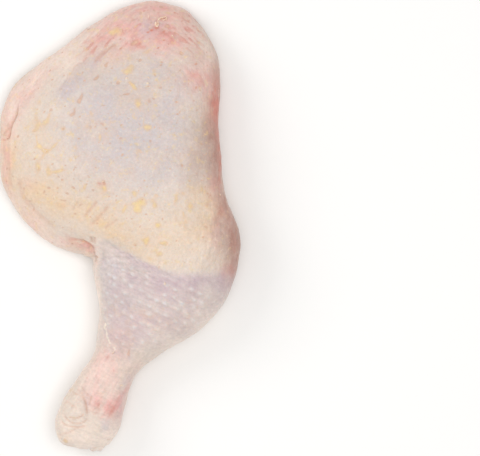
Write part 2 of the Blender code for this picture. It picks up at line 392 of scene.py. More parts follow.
def resample_rows(rows: np.ndarray, wanted: np.ndarray) -> np.ndarray:
    """Each row of points read again at shares of its own length.

    The rows' lengths are laid end to end, so that one interpolation reads them all.

    Args:
        rows: (rows, points, numbers) values, of which the first three are a position.
        wanted: rising shares from 0 to 1.

    Returns:
        (rows, len(wanted), numbers) values.
    """
    travelled = travel(rows)
    base = np.arange(len(rows))[:, None] * 1e4
    places = (travelled[:, -1:] * wanted[None] + base).ravel()
    known = (travelled + base).ravel()
    columns = [np.interp(places, known, rows[..., k].ravel()) for k in range(rows.shape[2])]
    return np.stack(columns, axis=-1).reshape(len(rows), len(wanted), rows.shape[2])


@dataclass
class LegForm:
    """The loft that every piece of the leg follows, with the sizes of the CAD model."""

    left_edge: Places = (
        (0, 15, 115), (1, 4.4, 112.3), (2, -8.6, 106.2), (3, -24, 95.1), (4, -41.8, 82.3),
        (5, -53.8, 71.4), (6, -59.8, 58.5), (8, -61.4, 37.6), (9.2, -60, 22), (10.4, -53.5, 9),
        (12, -36.1, -8.1), (14, -17.4, -15.5), (14.8, -14.2, -17), (15.6, -14.4, -20.6), (18, -11.3, -44),
        (20, -13.2, -61.3), (22, -25.6, -81.6), (24, -33.4, -100.6), (25.2, -30.9, -109.6),
        (26.6, -22.6, -113), (28, -14.5, -113.8),
    )
    right_edge: Places = (
        (0, 15, 115), (1, 28.6, 112.3), (2, 37.8, 105.9), (3, 45.9, 93.7), (4.5, 50.9, 74.3),
        (7, 49.8, 46.7), (9, 51.9, 24.2), (10, 54.2, 12.3), (12, 60.8, -3.3), (13.5, 61.4, -11.4),
        (16, 58.7, -24.3), (18, 47.2, -46.8), (20, 21.1, -66), (21.2, 8.4, -75.4), (23, 1.3, -93.9),
        (25, -3.6, -107.6), (26.6, -7.6, -112.4), (28, -14.5, -113.8),
    )
    # Fine corrections of the two edges: station, and a move to the right.
    left_trim: Places = (
        (0, 0), (1, -1), (2, -1.1), (2.5, -1.8), (3, 0), (3.5, 0.7), (4, -0.3), (4.5, -1.1), (6, -0.9),
        (7, 0.7), (7.5, 0.5), (8, -0.8), (8.5, -1), (9.5, 0.3), (10.5, -0.8), (11.2, -1.5), (12, 0),
        (12.8, 0.6), (13.5, -1), (14, -1.2), (14.6, -0.3), (16.5, 0), (18, 0.6), (19, -0.9), (19.5, -1.2),
        (20.5, 1), (21, 1.6), (21.5, 1), (22.5, -0.6), (23.5, -0.7), (25, 0.4), (28, 0),
    )
    right_trim: Places = (
        (0, 0), (1, 0.5), (2, 0.1), (3.5, 0.8), (4.5, -0.4), (5.5, -0.9), (6.5, -0.4), (7.5, 0),
        (10, -0.2), (12, -0.5), (13.5, -0.8), (14.6, -1.7), (15.2, -1.6), (16.2, 0), (17.3, 0.8),
        (18.5, -0.5), (20, -1.9), (21, -0.4), (23.5, 0.4), (25.5, 0), (28, 0),
    )
    crown: Places = (
        (0, 11), (2, 19), (4, 29), (6, 36), (8.5, 39), (12, 38.5), (15, 38), (18, 35), (20, 28.5),
        (22, 23.5), (24, 27), (28, 23),
    )
    left_rim: Places = ((0, 6.5), (4, 8), (10, 7.5), (13, 7.5), (16, 14), (20, 15), (28, 13))
    right_rim: Places = ((0, 6.5), (4, 11), (9, 15), (14, 17), (18, 16), (22, 14), (28, 13))
    under_shank: Places = ((0, 0), (18.6, 0), (20.4, 3), (22, 5), (23, 2.5), (24.2, 0), (28, 0))
    lean: Places = ((0.0, 0.05), (5.0, 0.16), (12.0, 0.18), (17.0, 0.05), (28.0, 0.0))
    left_fall: Places = ((0.0, 0.62), (6.0, 0.76), (12.0, 0.72), (16.0, 0.5), (28.0, 0.5))
    left_curve: float = 1.7
    right_curve: float = 2.5
    right_fall: float = 0.5
    under_flatness: float = 4.0
    end_rounding: float = 9.0
    pressed: float = 0.4
    relief_fade: Band = (-0.45, 0.1)

    skin_edge_across: float = 0.74
    seam_across: tuple[float, ...] = (-0.28, 0.24)
    seam_depth: float = 2.6
    seam_half_width: float = 0.055
    meat_stations: Band = (2.5, 15.0)
    muscle_swell: float = 1.1
    flat_share: float = 0.3
    dense: int = 400
    shift: np.ndarray = field(default_factory=lambda: np.zeros(3))

    # The thigh's skin gives way to the drumstick's along this line, and ends short of the meat
    # along the other.
    knee_line: Places = (
        (-13.2, -10.5), (-10.9, -8.6), (-7.4, -7.9), (-3.5, -10.4), (2.6, -14), (10.4, -18.2),
        (18.3, -21.6), (24.8, -24), (31.3, -24.8), (40.6, -24.9), (47.5, -24.8), (52.3, -24),
    )
    skin_end: Places = ((-30.7, -4.0), (-26.7, -5.1), (-20.6, -7.1), (-16.5, -9.2), (-13.9, -12.0))
    dents: Places = (
        (23, 101.6, 14.4, 7.7, 1), (5.8, 92, 11.5, 6.7, 0.8), (45, 7.7, 9.6, 15.3, 1.2),
        (-13.4, -59.4, 5.8, 13.4, 1), (-7.5, -16, 5.5, 7, -1),
    )
    waves: Places = ((0.4, 47, 24, 0.4), (0.32, 33, 101, 2.1), (0.22, 21, 63, 4), (0.16, 15, 148, 1.2))

    def edges(self, station: np.ndarray) -> tuple[np.ndarray, np.ndarray]:
        """The left and the right edge seen from above, before their fine corrections."""
        return smooth_curve(self.left_edge, station), smooth_curve(self.right_edge, station)

    def stations(self, count: int, first: float = 0.0, last: float = 28.0) -> np.ndarray:
        """Stations about evenly far apart on the surface, without the two ends."""
        fine = np.linspace(first, last, 2000)
        left, right = self.edges(fine)
        middle = 0.5 * (left + right)
        edges = (left, right, middle, middle)
        steps = sum(np.linalg.norm(np.diff(edge, axis=0), axis=1) for edge in edges)
        travelled = np.concatenate([[0.0], np.cumsum(steps)])
        return np.interp(np.linspace(0.0, travelled[-1], count + 2)[1:-1], travelled, fine)

    def rim(self, station: np.ndarray, across: np.ndarray) -> np.ndarray:
        """Height of the section's widest place, from the left rim at -1 to the right one at +1."""
        left = smooth_value(self.left_rim, station)
        right = smooth_value(self.right_rim, station)
        return left + (right - left) * 0.5 * (across + 1.0)

    def top(self, station: np.ndarray, across: np.ndarray) -> np.ndarray:
        """Height of the top: the rim plus the crown times (1 - |across| ^ curve) ^ fall."""
        rim = self.rim(station, across)
        rise = smooth_value(self.crown, station) - rim
        left = across < 0.0
        fall = np.where(left, smooth_value(self.left_fall, station), self.right_fall)
        curve = np.where(left, self.left_curve, self.right_curve)
        return rim + rise * np.clip(1.0 - np.abs(across) ** curve, 0.0, 1.0) ** fall

    def inside_skin(self, station: np.ndarray, across: np.ndarray) -> np.ndarray:
        """How far inside the skin's ragged edge underneath a place lies, as a share of half widths.

        The edge is a rounded box of stations and shares across: along one axis the distance to
        the skin's sides, along the other to its two ends, blended as 1 - (u^5 + v^5)^(1/5).
        """
        first, last = self.meat_stations
        u = np.abs(across + 0.04 * np.sin(0.9 * station)) / self.skin_edge_across
        v = np.abs(2.0 * (station - first) / (last - first) - 1.0)
        ragged = 0.045 * np.sin(2.3 * station + 4.0 * across) + 0.03 * np.sin(9.0 * across - station)
        ragged = ragged + 0.02 * np.sin(5.9 * station + 1.0) * np.sin(17.0 * across)
        return 1.0 - (u**5 + v**5) ** 0.2 + ragged

    def hollow(self, across: np.ndarray) -> np.ndarray:
        """How flat the underside is: 1 in the middle, 0 at the rims."""
        return np.sqrt(np.clip(1.0 - np.abs(across) ** self.under_flatness, 0.0, 1.0))

    def under_base(self, station: np.ndarray, across: np.ndarray) -> np.ndarray:
        """Height of the underside before muscles and seams, below zero where it is pressed flat."""
        hollow = self.hollow(across)
        lift = smooth_value(self.under_shank, station) - self.pressed
        return self.rim(station, across) * (1.0 - hollow) + lift * hollow

    def seam_line(self, index: int, station: np.ndarray) -> np.ndarray:
        """Where a seam runs: its share across, wandering as a sine of the station."""
        return self.seam_across[index] + 0.08 * np.sin(0.55 * station + 2.4 * index)

    def seams(self, station: np.ndarray, across: np.ndarray) -> np.ndarray:
        """Two wandering grooves between the muscles, each a bell of the distance from its line."""
        away = (across - self.seam_line(index, station) for index in range(len(self.seam_across)))
        return sum(bell(far, self.seam_half_width) for far in away)

    def under_meat(self, station: np.ndarray, across: np.ndarray) -> np.ndarray:
        """Height of the meat underneath: the base, with seams cut in and muscles swelling out."""
        uneven = np.sin(1.1 * station + 5.0 * across) * np.sin(7.0 * across - 0.6 * station)
        swell = self.muscle_swell * (uneven - self.flat_share) * self.hollow(across)
        return self.under_base(station, across) + self.seam_depth * self.seams(station, across) + swell

    def ends_close(self, station: np.ndarray) -> np.ndarray:
        """A quarter circle at each end of the leg: 0 at the tip, 1 from one rounding away."""
        left, right = self.edges(station)
        middle = 0.5 * (left[..., 1] + right[..., 1])
        hip, hock = self.left_edge[0][2], self.left_edge[-1][2]
        gaps = np.stack([hip - middle, middle - hock]) / self.end_rounding
        return np.sqrt(1.0 - (1.0 - np.clip(gaps, 0.0, 1.0)) ** 2).prod(axis=0)

    def place(self, station: np.ndarray, across: np.ndarray, height: np.ndarray) -> np.ndarray:
        """Points over the rungs: across from the left edge at -1 to the right one at +1."""
        left, right = self.edges(station)
        left[..., 0] += smooth_value(self.left_trim, station)
        right[..., 0] += smooth_value(self.right_trim, station)
        plan = left + (right - left) * (0.5 * (across + 1.0))[..., None]
        return np.concatenate([plan, height[..., None]], axis=-1)

    def loft(self, rings: int, top_places: int, under_places: int, recess: float) -> Surface:
        """The bare leg as a grid of rings, without its relief.

        Args:
            rings: how many rings stand between the two poles.
            top_places: points over the top of each ring, both rims included.
            under_places: points under each ring, without the rims.
            recess: how far the middle of the underside draws back to leave room for the meat.

        Returns:
            The grid.
        """
        across = np.cos(np.linspace(math.pi, 0.0, self.dense))
        wide, far = np.meshgrid(across, self.stations(rings))
        close = self.ends_close(far)
        rim = self.rim(far, wide)
        leaned = wide + smooth_value(self.lean, far) * (1.0 - wide**2)
        top = self.place(far, leaned, rim + (self.top(far, wide) - rim) * close)
        inside = ease(self.inside_skin(far, wide), -0.02, 0.05)
        low = np.maximum(0.0, self.under_base(far, wide)) + recess * inside
        under = self.place(far, wide, rim + (low - rim) * close)
        shares = np.linspace(0.0, 1.0, under_places + 2)[1:-1]
        top = resample_rows(np.dstack([top, wide]), np.linspace(0.0, 1.0, top_places))
        under = resample_rows(under[:, ::-1], shares)
        points = np.concatenate([top[..., :3], under], axis=1)
        normal = grid_normals(points)
        travelled = travel(points)
        crown = np.abs(top[..., 3]).argmin(axis=1)
        rows = np.arange(rings)
        start = travelled[rows, crown] - points[rows, crown, 0]
        ends = [(*self.left_edge[end][1:], self.left_rim[end][1]) for end in (0, -1)]
        return Surface(
            points=points,
            round_mm=travelled - start[:, None],
            upward=ease(normal[..., 2], *self.relief_fade),
            normal=normal,
            poles=np.array(ends),
        )

    def broad_relief(self, x: np.ndarray, y: np.ndarray) -> np.ndarray:
        """The knee's step, the skin's end, the dents and the slow waves, as heights."""
        left_part = 1.0 - ease(x, 12.0, 34.0)
        move = -0.35 * crease(x, y, self.knee_line, 1.8) * left_part
        move -= 0.4 * step_down(x, y, self.knee_line, 0.8, 16.0) * left_part
        move -= 1.5 * step_down(x, y, self.skin_end, 0.6, 7.0) * ease(x, -30.0, -15.0)
        for px, py, wide, long, depth in self.dents:
            move -= depth * np.exp(-(((x - px) / wide) ** 2) - ((y - py) / long) ** 2)
        for height, wavelength, degrees, phase in self.waves:
            run, _ = turned(x, y, degrees)
            move += height * np.sin(2.0 * math.pi * run / wavelength + phase)
        return move

    def centre_on_frame(self, points: np.ndarray) -> None:
        """Sets the shift that lays these points over the CAD node: middle on middle, hip on hip."""
        low, high = points.reshape(-1, 3).min(axis=0), points.reshape(-1, 3).max(axis=0)
        cad_low, cad_high = (np.array(corner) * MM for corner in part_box(NODE))
        self.shift = 0.5 * (cad_low + cad_high) - 0.5 * (low + high)
        self.shift[1:] = cad_high[1] - high[1], 0.0

    def settled(self, points: np.ndarray) -> np.ndarray:
        """Points as metres in the frame."""
        return (points + self.shift) * METRES


# ---------------------------------------------------------------------------------------------
# Meshes
# ---------------------------------------------------------------------------------------------


def make_mesh(name: str, points: np.ndarray, faces: list[np.ndarray]) -> bpy.types.Object:
    """A smooth-shaded mesh object at the origin, from arrays.

    Args:
        name: the piece's name.
        points: (n, 3) positions in metres.
        faces: arrays of corner indices, each (m, 3) or (m, 4).

    Returns:
        The object, linked to the scene.
    """
    mesh = bpy.data.meshes.new(name)
    corners = np.concatenate([block.ravel() for block in faces]).astype(np.int32)
    sizes = np.concatenate([np.full(len(block), block.shape[1]) for block in faces])
    starts = np.concatenate([[0], np.cumsum(sizes)[:-1]]).astype(np.int32)
    mesh.vertices.add(len(points))
    mesh.vertices.foreach_set("co", np.ascontiguousarray(points, dtype=np.float32).ravel())
    mesh.loops.add(len(corners))
    mesh.loops.foreach_set("vertex_index", corners)
    mesh.polygons.add(len(sizes))
    mesh.polygons.foreach_set("loop_start", starts)
    mesh.polygons.foreach_set("use_smooth", np.full(len(sizes), True))
    mesh.update(calc_edges=True)
    mesh.validate()
    piece = bpy.data.objects.new(name, mesh)
    bpy.context.scene.collection.objects.link(piece)
    return piece


def tube_faces(rings: int, places: int) -> list[np.ndarray]:
    """The faces of a closed tube whose rings run left over the top to the right.

    Args:
        rings: how many rings there are.
        places: points round each ring.

    Returns:
        Quads between the rings, and a fan of triangles from each end's ring to its pole. The
        poles are numbered after the rings.
    """
    ring, place = np.meshgrid(np.arange(rings - 1) * places, np.arange(places), indexing="ij")
    beside = (place + 1) % places
    around = [ring + place, ring + place + places, ring + beside + places, ring + beside]
    first, second = place[0], beside[0]
    pole, last = np.full(places, rings * places), (rings - 1) * places
    fans = [[pole, first, second], [pole + 1, last + second, last + first]]
    triangles = np.concatenate([np.stack(fan, axis=-1) for fan in fans])
    return [np.stack(around, axis=-1).reshape(-1, 4), triangles]


def sweep(path: np.ndarray, wide: np.ndarray, thick: np.ndarray, places: int = 8) -> Tube:
    """A tapering strip along a path: at each path point an ellipse, path + wide cos a + thick sin a.

    Args:
        path: (n, 3) points.
        wide: half width at each point.
        thick: half thickness at each point.
        places: points round each ellipse.

    Returns:
        The rings, (n, places, 3), and the two ends.
    """
    along = np.gradient(path, axis=0)
    along /= np.linalg.norm(along, axis=1, keepdims=True)
    side = np.cross(along, (0.0, 0.0, 1.0))
    side /= np.linalg.norm(side, axis=1, keepdims=True)
    up = np.cross(side, along)
    angle = np.arange(places) * 2.0 * math.pi / places
    ring = path[:, None] + (wide[:, None] * np.cos(angle))[..., None] * side[:, None]
    ring = ring + (thick[:, None] * np.sin(angle))[..., None] * up[:, None]
    ends = np.stack([path[0] - along[0] * wide[0], path[-1] + along[-1] * wide[-1]])
    return ring, ends


def add_piece(
    name: str, form: LegForm, tubes: list[Tube], material: bpy.types.Material, slot: str,
    masks: Masks | None = None,
) -> None:
    """Closed tubes as one piece on the leg, with its material and its masks; the slot is only logged.

    Args:
        name: the piece's name.
        form: the leg's form, which settles the piece in the frame.
        tubes: each tube's (rings, places, 3) points and the two poles that close its ends.
        material: the piece's material.
        slot: the name of the piece's material slot, which is only written to the log.
        masks: numbers for a lone tube's ring points, by the name under which the material
            reads them. Each pole takes the mean of its ring.
    """
    points, faces, start = [], [], 0
    for rings, poles in tubes:
        faces += [block + start for block in tube_faces(*rings.shape[:2])]
        points += [rings.reshape(-1, 3), poles]
        start += rings[..., 0].size + len(poles)
    piece = make_mesh(name, form.settled(np.concatenate(points)), faces)
    for mask, values in (masks or {}).items():
        values = np.clip(values, 0.0, HIGHEST_MASK).reshape(rings.shape[:2])
        whole = np.concatenate([values.ravel(), values[[0, -1]].mean(axis=1)]).astype(np.float32)
        piece.data.attributes.new(mask, "FLOAT", "POINT").data.foreach_set("value", whole)
    piece.data.materials.append(material)
    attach(piece, BODY)
    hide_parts(NODE)
    log.info("%s: %d faces, slot %s", name, len(piece.data.polygons), slot)


# ---------------------------------------------------------------------------------------------
# Finishes
# ---------------------------------------------------------------------------------------------


def linear(colour: str) -> tuple[float, float, float, float]:
    """An sRGB hex colour as linear light."""
    parts = [int(colour[k : k + 2], 16) / 255.0 for k in (1, 3, 5)]
    red, green, blue = (p / 12.92 if p <= 0.04045 else ((p + 0.055) / 1.055) ** 2.4 for p in parts)
    return red, green, blue, 1.0


class Tone(Enum):
    """The leg's colours, as sRGB hex: its own tones, and the tones of its painted shade and painted light.
    """

    CREAM = "#DECEC1"
    LAVENDER = "#CCC1C0"
    PINK = "#E4B2AB"
    PEACH = "#E4C7A7"
    MAUVE = "#C6B0B4"
    # Painted shade for the thigh's right flank and the knee's right edge.
    SHADE = "#AE8B7E"
    # Painted light: a pale tone that lightens edges and ends which the light leaves dark.
    PAINTED_LIGHT = "#F5E3D6"
    BRICK = "#CE8375"
    # Pale tops of goose bumps: paler stretched skin and painted highlight.
    BUMP_TOP_AND_HIGHLIGHT = "#DCDBDF"
    BLUSH = "#E0C4AC"
    ROSE = "#DCC0B2"
    AMBER = "#E7C98F"
    TAN = "#DBB995"
    # Pale cuticle and tendon, and painted glints.
    PALE = "#F4E8D3"
    UMBER = "#C69C84"
    PORE = "#D6B096"
    # Painted shade in the folds.
    FOLD_SHADE = "#CFA28B"
    MEAT = "#DCA597"
    MEAT_DARK = "#BE786B"
    MEMBRANE = "#EAD2C8"
    FAT = "#F0DDB4"
    FAT_DEEP = "#E8CE9F"
    CARTILAGE = "#EBDDD0"
    CARTILAGE_DEEP = "#DDC0B0"
    CUTICLE = "#F0DAC4"
    CUTICLE_DEEP = "#DDA684"
    FLOOR = "#F7F6F4"

    @property
    def rgba(self) -> tuple[float, float, float, float]:
        """The colour as linear light."""
        return linear(self.value)


class NodeTree:
    """A material's nodes, added one at a time.

    Attributes:
        material: the material.
        shader: its Principled shader.
        place: the Object coordinates.
        masks: the mesh's own masks by name.
    """

    def __init__(self, name: str, masks: Iterable[str] = ()) -> None:
        """Starts a material.

        Args:
            name: the material's name.
            masks: names of the masks that it reads.
        """
        self.material = bpy.data.materials.new(name)
        self.material.use_nodes = True
        self.tree = self.material.node_tree
        self.shader = self.tree.nodes["Principled BSDF"]
        self.place = self.add("TexCoord", {}, "Object")
        self.masks = {mask: self.add("Attribute", {}, "Fac", attribute_name=mask) for mask in masks}

    def add(
        self, kind: str, inputs: dict[Any, Any], output: str | int = 0, **settings: Any
    ) -> bpy.types.NodeSocket:
        """Adds a node.

        Args:
            kind: the node's type, without its prefix.
            inputs: its sockets by name or number, each a plain value or another node's output.
            output: the output that is wanted, by name or number.
            settings: its properties by name.

        Returns:
            The output.
        """
        node = self.tree.nodes.new("ShaderNode" + kind)
        for name, value in settings.items():
            setattr(node, name, value)
        self.fill(node, inputs)
        return node.outputs[output]

    def fill(self, node: bpy.types.Node, inputs: dict[Any, Any]) -> None:
        """Links a node's sockets to outputs, or sets their own values."""
        for name, value in inputs.items():
            if isinstance(value, bpy.types.NodeSocket):
                self.tree.links.new(value, node.inputs[name])
            else:
                node.inputs[name].default_value = value


@dataclass(frozen=True)
class RawSkin:
    """Raw chicken skin, scalded and plucked: damp, slightly translucent, fat showing through.

    Its tones come from masks on the mesh: thin skin looks lavender over the muscle, fat makes
    it peach, bloodied skin near the cuts looks pink. Painted shade darkens the right flank, the
    folds and the furrows between goose bumps; painted light brightens steep edges, the tops of
    goose bumps and small glints. Marbling, flecks of torn cuticle, pores and fine lines lie over them.
    """

    roughness: float = 0.48
    damp_swing: float = 0.08
    coat: float = 0.08
    coat_roughness: float = 0.3
    translucence: float = 0.10
    # Each cloud's name, the width of its lumps in millimetres, its detail and its roughness.
    clouds: tuple[tuple[str, float, float, float], ...] = (
        ("broad", 15.0, 2.0, 0.5), ("mottle", 8.0, 4.0, 0.58), ("marble", 3.6, 3.0, 0.6),
        ("grain", 1.3, 3.0, 0.6), ("fleck", 3.4, 3.0, 0.62), ("glint", 1.6, 2.0, 0.6),
    )
    # Veils of colour, the lowest first: mask, tone, cloud, the cloud's low and high, and how
    # much of the mask covers at each.
    veils: tuple[tuple[str, Tone, str, float, float, float, float], ...] = (
        ("pored", Tone.BLUSH, "marble", 0.46, 0.62, 0.0, 0.26),
        ("fat", Tone.PEACH, "mixed", 0.3, 0.7, 0.40, 1.60),
        ("thin", Tone.LAVENDER, "mixed", 0.3, 0.7, 0.55, 1.75),
        ("pink", Tone.PINK, "mixed", 0.3, 0.7, 0.48, 1.52),
        ("mauve", Tone.MAUVE, "mixed", 0.3, 0.7, 0.52, 1.48),
        # The shade veil is painted shade; the brick-red veil after it is bloodied skin, and also painted
        # shade on the right flank.
        ("shade", Tone.SHADE, "mixed", 0.3, 0.7, 0.45, 0.95),
        ("blood", Tone.BRICK, "mixed", 0.3, 0.7, 0.52, 1.48),
        # The tops of the goose bumps: paler skin and painted highlight.
        ("bump", Tone.BUMP_TOP_AND_HIGHLIGHT, "mixed", 0.3, 0.7, 1.0, 1.0),
        # Painted light on edges and ends that the light leaves dark.
        ("waxy", Tone.PAINTED_LIGHT, "mixed", 0.3, 0.7, 0.8, 1.2),
        # Painted shade along the folds.
        ("line", Tone.FOLD_SHADE, "mixed", 0.3, 0.7, 0.76, 1.24),
        ("bumpy", Tone.BLUSH, "marble", 0.5, 0.62, 0.0, 0.3),
        ("bumpy", Tone.LAVENDER, "glint", 0.5, 0.62, 0.0, 0.3),
        ("veiled", Tone.BLUSH, "broad", 0.48, 0.62, 0.0, 0.35),
        ("veiled", Tone.ROSE, "marble", 0.48, 0.62, 0.0, 0.35),
        ("pored", Tone.AMBER, "fleck", 0.57, 0.72, 0.0, 0.5),
        # Tan and pale specks on the glint cloud: flecks of the skin, and painted glints.
        ("pored", Tone.TAN, "glint", 0.60, 0.68, 0.0, 0.22),
        ("pored", Tone.PALE, "glint", 0.38, 0.30, 0.0, 0.22),
    )
    # Ragged marks: mask, tone of the edge, tone of the core, the level at which the edge is torn,
    # and the mark's cover.
    marks: tuple[tuple[str, Tone, Tone, float, float], ...] = (
        ("film", Tone.TAN, Tone.AMBER, 0.26, 0.8), ("tear", Tone.UMBER, Tone.PORE, 0.30, 0.85),
        ("pale", Tone.PALE, Tone.PALE, 0.40, 0.7),
    )
    # Pores: spacing, radius, cover, length as a share of width, and direction in degrees.
    pores: tuple[tuple[float, float, float, float, float], ...] = (
        (4.3, 0.62, 0.95, 1.7, 12.0), (3.1, 0.38, 0.8, 1.4, -20.0), (5.3, 0.7, 0.9, 1.8, 62.0),
    )
    bend_mm: float = 2.2
    pore_bend_mm: float = 1.1
    # Fine lines: the mask that holds each field of them, and their direction in degrees.
    fields: tuple[tuple[str, float], ...] = (
        ("rim", 50.0), ("brow", -42.0), ("edge", 86.0), ("hem", 64.0), ("drum", -23.0), ("shank", 58.0),
        ("knob", -9.0),
    )
    line_mm: float = 1.5
    line_length: float = 4.2

    def line_field(self, nodes: NodeTree) -> Any:
        """Fine lines of the skin's grain: noise drawn out along each field's direction.

        Args:
            nodes: the material being made.

        Returns:
            An output that is 0.5 in plain skin, and swings about it where lines show.
        """
        total: Any = 0.5
        for name, degrees in self.fields:
            turn, stretch = (0.0, 0.0, math.radians(degrees)), (self.line_length, 1.0, 1.4)
            drawing = {"Vector": nodes.place, "Rotation": turn, "Scale": stretch}
            drawn = nodes.add("Mapping", drawing, vector_type="TEXTURE")
            scale = {"Vector": drawn, "Scale": MM / self.line_mm, "Roughness": 0.55}
            thread = nodes.add("TexNoise", scale, "Fac")
            swing = nodes.add("Math", {0: thread, 1: 0.5}, operation="SUBTRACT")
            share = {0: swing, 1: nodes.masks[name], 2: total}
            total = nodes.add("Math", share, operation="MULTIPLY_ADD")
        return total

    def pore_cover(self, nodes: NodeTree) -> Any:
        """Pores: small balls in space that the surface cuts through, drawn out and bent.

        Args:
            nodes: the material being made.

        Returns:
            Their cover, from 0 to 1.
        """
        bends = {"Vector": nodes.place, "Scale": MM / self.bend_mm, "Detail": 1.0}
        wander = nodes.add("TexNoise", bends, "Color")
        reach = (self.pore_bend_mm * METRES,) * 3
        bent = nodes.add("VectorMath", {0: wander, 1: reach, 2: nodes.place}, operation="MULTIPLY_ADD")
        cover: Any = 0.0
        for spacing, radius, strength, length, degrees in self.pores:
            turn = (0.0, 0.0, math.radians(degrees))
            drawing = {"Vector": bent, "Rotation": turn, "Scale": (length, 1.0, 1.0)}
            drawn = nodes.add("Mapping", drawing, vector_type="TEXTURE")
            cells = {"Vector": drawn, "Scale": MM / spacing, "Randomness": 0.95}
            distance = nodes.add("TexVoronoi", cells, "Distance")
            chance = distance.node.outputs["Color"]
            size = nodes.add("Math", {0: chance, 1: 0.8, 2: 0.55}, operation="MULTIPLY_ADD")
            share = nodes.add("Math", {0: distance, 1: size}, operation="DIVIDE")
            edge = {0: share, 1: 0.25 * radius / spacing, 2: radius / spacing, 3: strength, 4: 0.0}
            mark = nodes.add("MapRange", edge, interpolation_type="SMOOTHSTEP")
            cover = nodes.add("Math", {0: cover, 1: mark}, operation="MAXIMUM")
        return nodes.add("Math", {0: cover, 1: nodes.masks["pored"]}, operation="MULTIPLY")

    def colour(self, nodes: NodeTree, clouds: dict[str, Any], pores: Any) -> Any:
        """The skin's colour before its fine lines: veils, ragged marks and pores over cream.

        Args:
            nodes: the material being made.
            clouds: the noises by name.
            pores: the pores' cover.

        Returns:
            The colour's output.
        """
        masks = nodes.masks
        colour: Any = Tone.CREAM.rgba
        for mask, tone, cloud, low, high, least, most in self.veils:
            amount = nodes.add("MapRange", {0: clouds[cloud], 1: low, 2: high, 3: least, 4: most})
            share = nodes.add("Math", {0: amount, 1: masks[mask]}, operation="MULTIPLY", use_clamp=True)
            colour = nodes.add("Mix", {0: share, 6: colour, 7: tone.rgba}, 2, data_type="RGBA")
        for mask, rim, core, level, most in self.marks:
            inner = nodes.add("MapRange", {0: masks[mask], 1: 0.45, 2: 0.75})
            tone = nodes.add("Mix", {0: inner, 6: rim.rgba, 7: core.rgba}, 2, data_type="RGBA")
            torn = {0: clouds["grain"], 1: 0.7, 2: masks[mask]}
            ragged = nodes.add("Math", torn, operation="MULTIPLY_ADD")
            edge = {0: ragged, 1: level + 0.2, 2: level + 0.6, 3: 0.0, 4: most}
            cover = nodes.add("MapRange", edge, interpolation_type="SMOOTHSTEP")
            depth = nodes.add("MapRange", {0: masks[mask], 3: 0.35, 4: 1.05})
            share = nodes.add("Math", {0: cover, 1: depth}, operation="MULTIPLY")
            colour = nodes.add("Mix", {0: share, 6: colour, 7: tone}, 2, data_type="RGBA")
        tones = {0: masks["pink"], 6: Tone.PORE.rgba, 7: Tone.BRICK.rgba}
        pore = nodes.add("Mix", tones, 2, data_type="RGBA")
        return nodes.add("Mix", {0: pores, 6: colour, 7: pore}, 2, data_type="RGBA")

    def build(self) -> bpy.types.Material:
        """Makes the material, which reads the mesh's masks by name."""
        names = {"smooth"} | {row[0] for row in (*self.veils, *self.marks, *self.fields)}
        nodes = NodeTree("raw_chicken_skin", sorted(names))
        clouds = {}
        for name, size, detail, rough in self.clouds:
            scale = {"Vector": nodes.place, "Scale": MM / size, "Detail": detail, "Roughness": rough}
            clouds[name] = nodes.add("TexNoise", scale, "Fac")
        both = nodes.add("Math", {0: clouds["mottle"], 1: clouds["marble"]}, operation="ADD")
        clouds["mixed"] = nodes.add("Math", {0: both, 1: 0.5}, operation="MULTIPLY")
        pores = self.pore_cover(nodes)
        lines = self.line_field(nodes)
        speckled = nodes.add("MapRange", {0: clouds["grain"], 1: 0.3, 2: 0.7, 3: 0.945, 4: 1.055})
        lined = nodes.add("MapRange", {0: lines, 1: 0.3, 2: 0.7, 3: 0.90, 4: 1.08}, clamp=False)
        value = nodes.add("Math", {0: speckled, 1: lined}, operation="MULTIPLY")
        colour = self.colour(nodes, clouds, pores)
        tinted = nodes.add("VectorMath", {0: colour, "Scale": value}, operation="SCALE")
        driest, dampest = self.roughness + self.damp_swing, self.roughness - self.damp_swing
        rough = nodes.add("MapRange", {0: clouds["mottle"], 1: 0.3, 2: 0.7, 3: dampest, 4: driest})
        height = nodes.add("Math", {0: clouds["grain"], 1: lines}, operation="ADD")
        height = nodes.add("Math", {0: clouds["marble"], 1: 2.0, 2: height}, operation="MULTIPLY_ADD")
        height = nodes.add("Math", {0: pores, 1: -0.4, 2: height}, operation="MULTIPLY_ADD")
        rugged = nodes.add("MapRange", {0: nodes.masks["smooth"], 3: 0.7, 4: 0.3})
        relief = nodes.add("Bump", {"Height": height, "Strength": rugged, "Distance": BUMP_HEIGHT})
        finish = {
            "Base Color": tinted, "Roughness": rough, "IOR": 1.42, "Normal": relief,
            "Coat Weight": self.coat, "Coat Roughness": self.coat_roughness,
            "Subsurface Weight": self.translucence, "Subsurface Scale": 1.0,
            "Subsurface Radius": (2.4 * METRES, 1.1 * METRES, 0.7 * METRES),
        }
        nodes.fill(nodes.shader, finish)
        return nodes.material


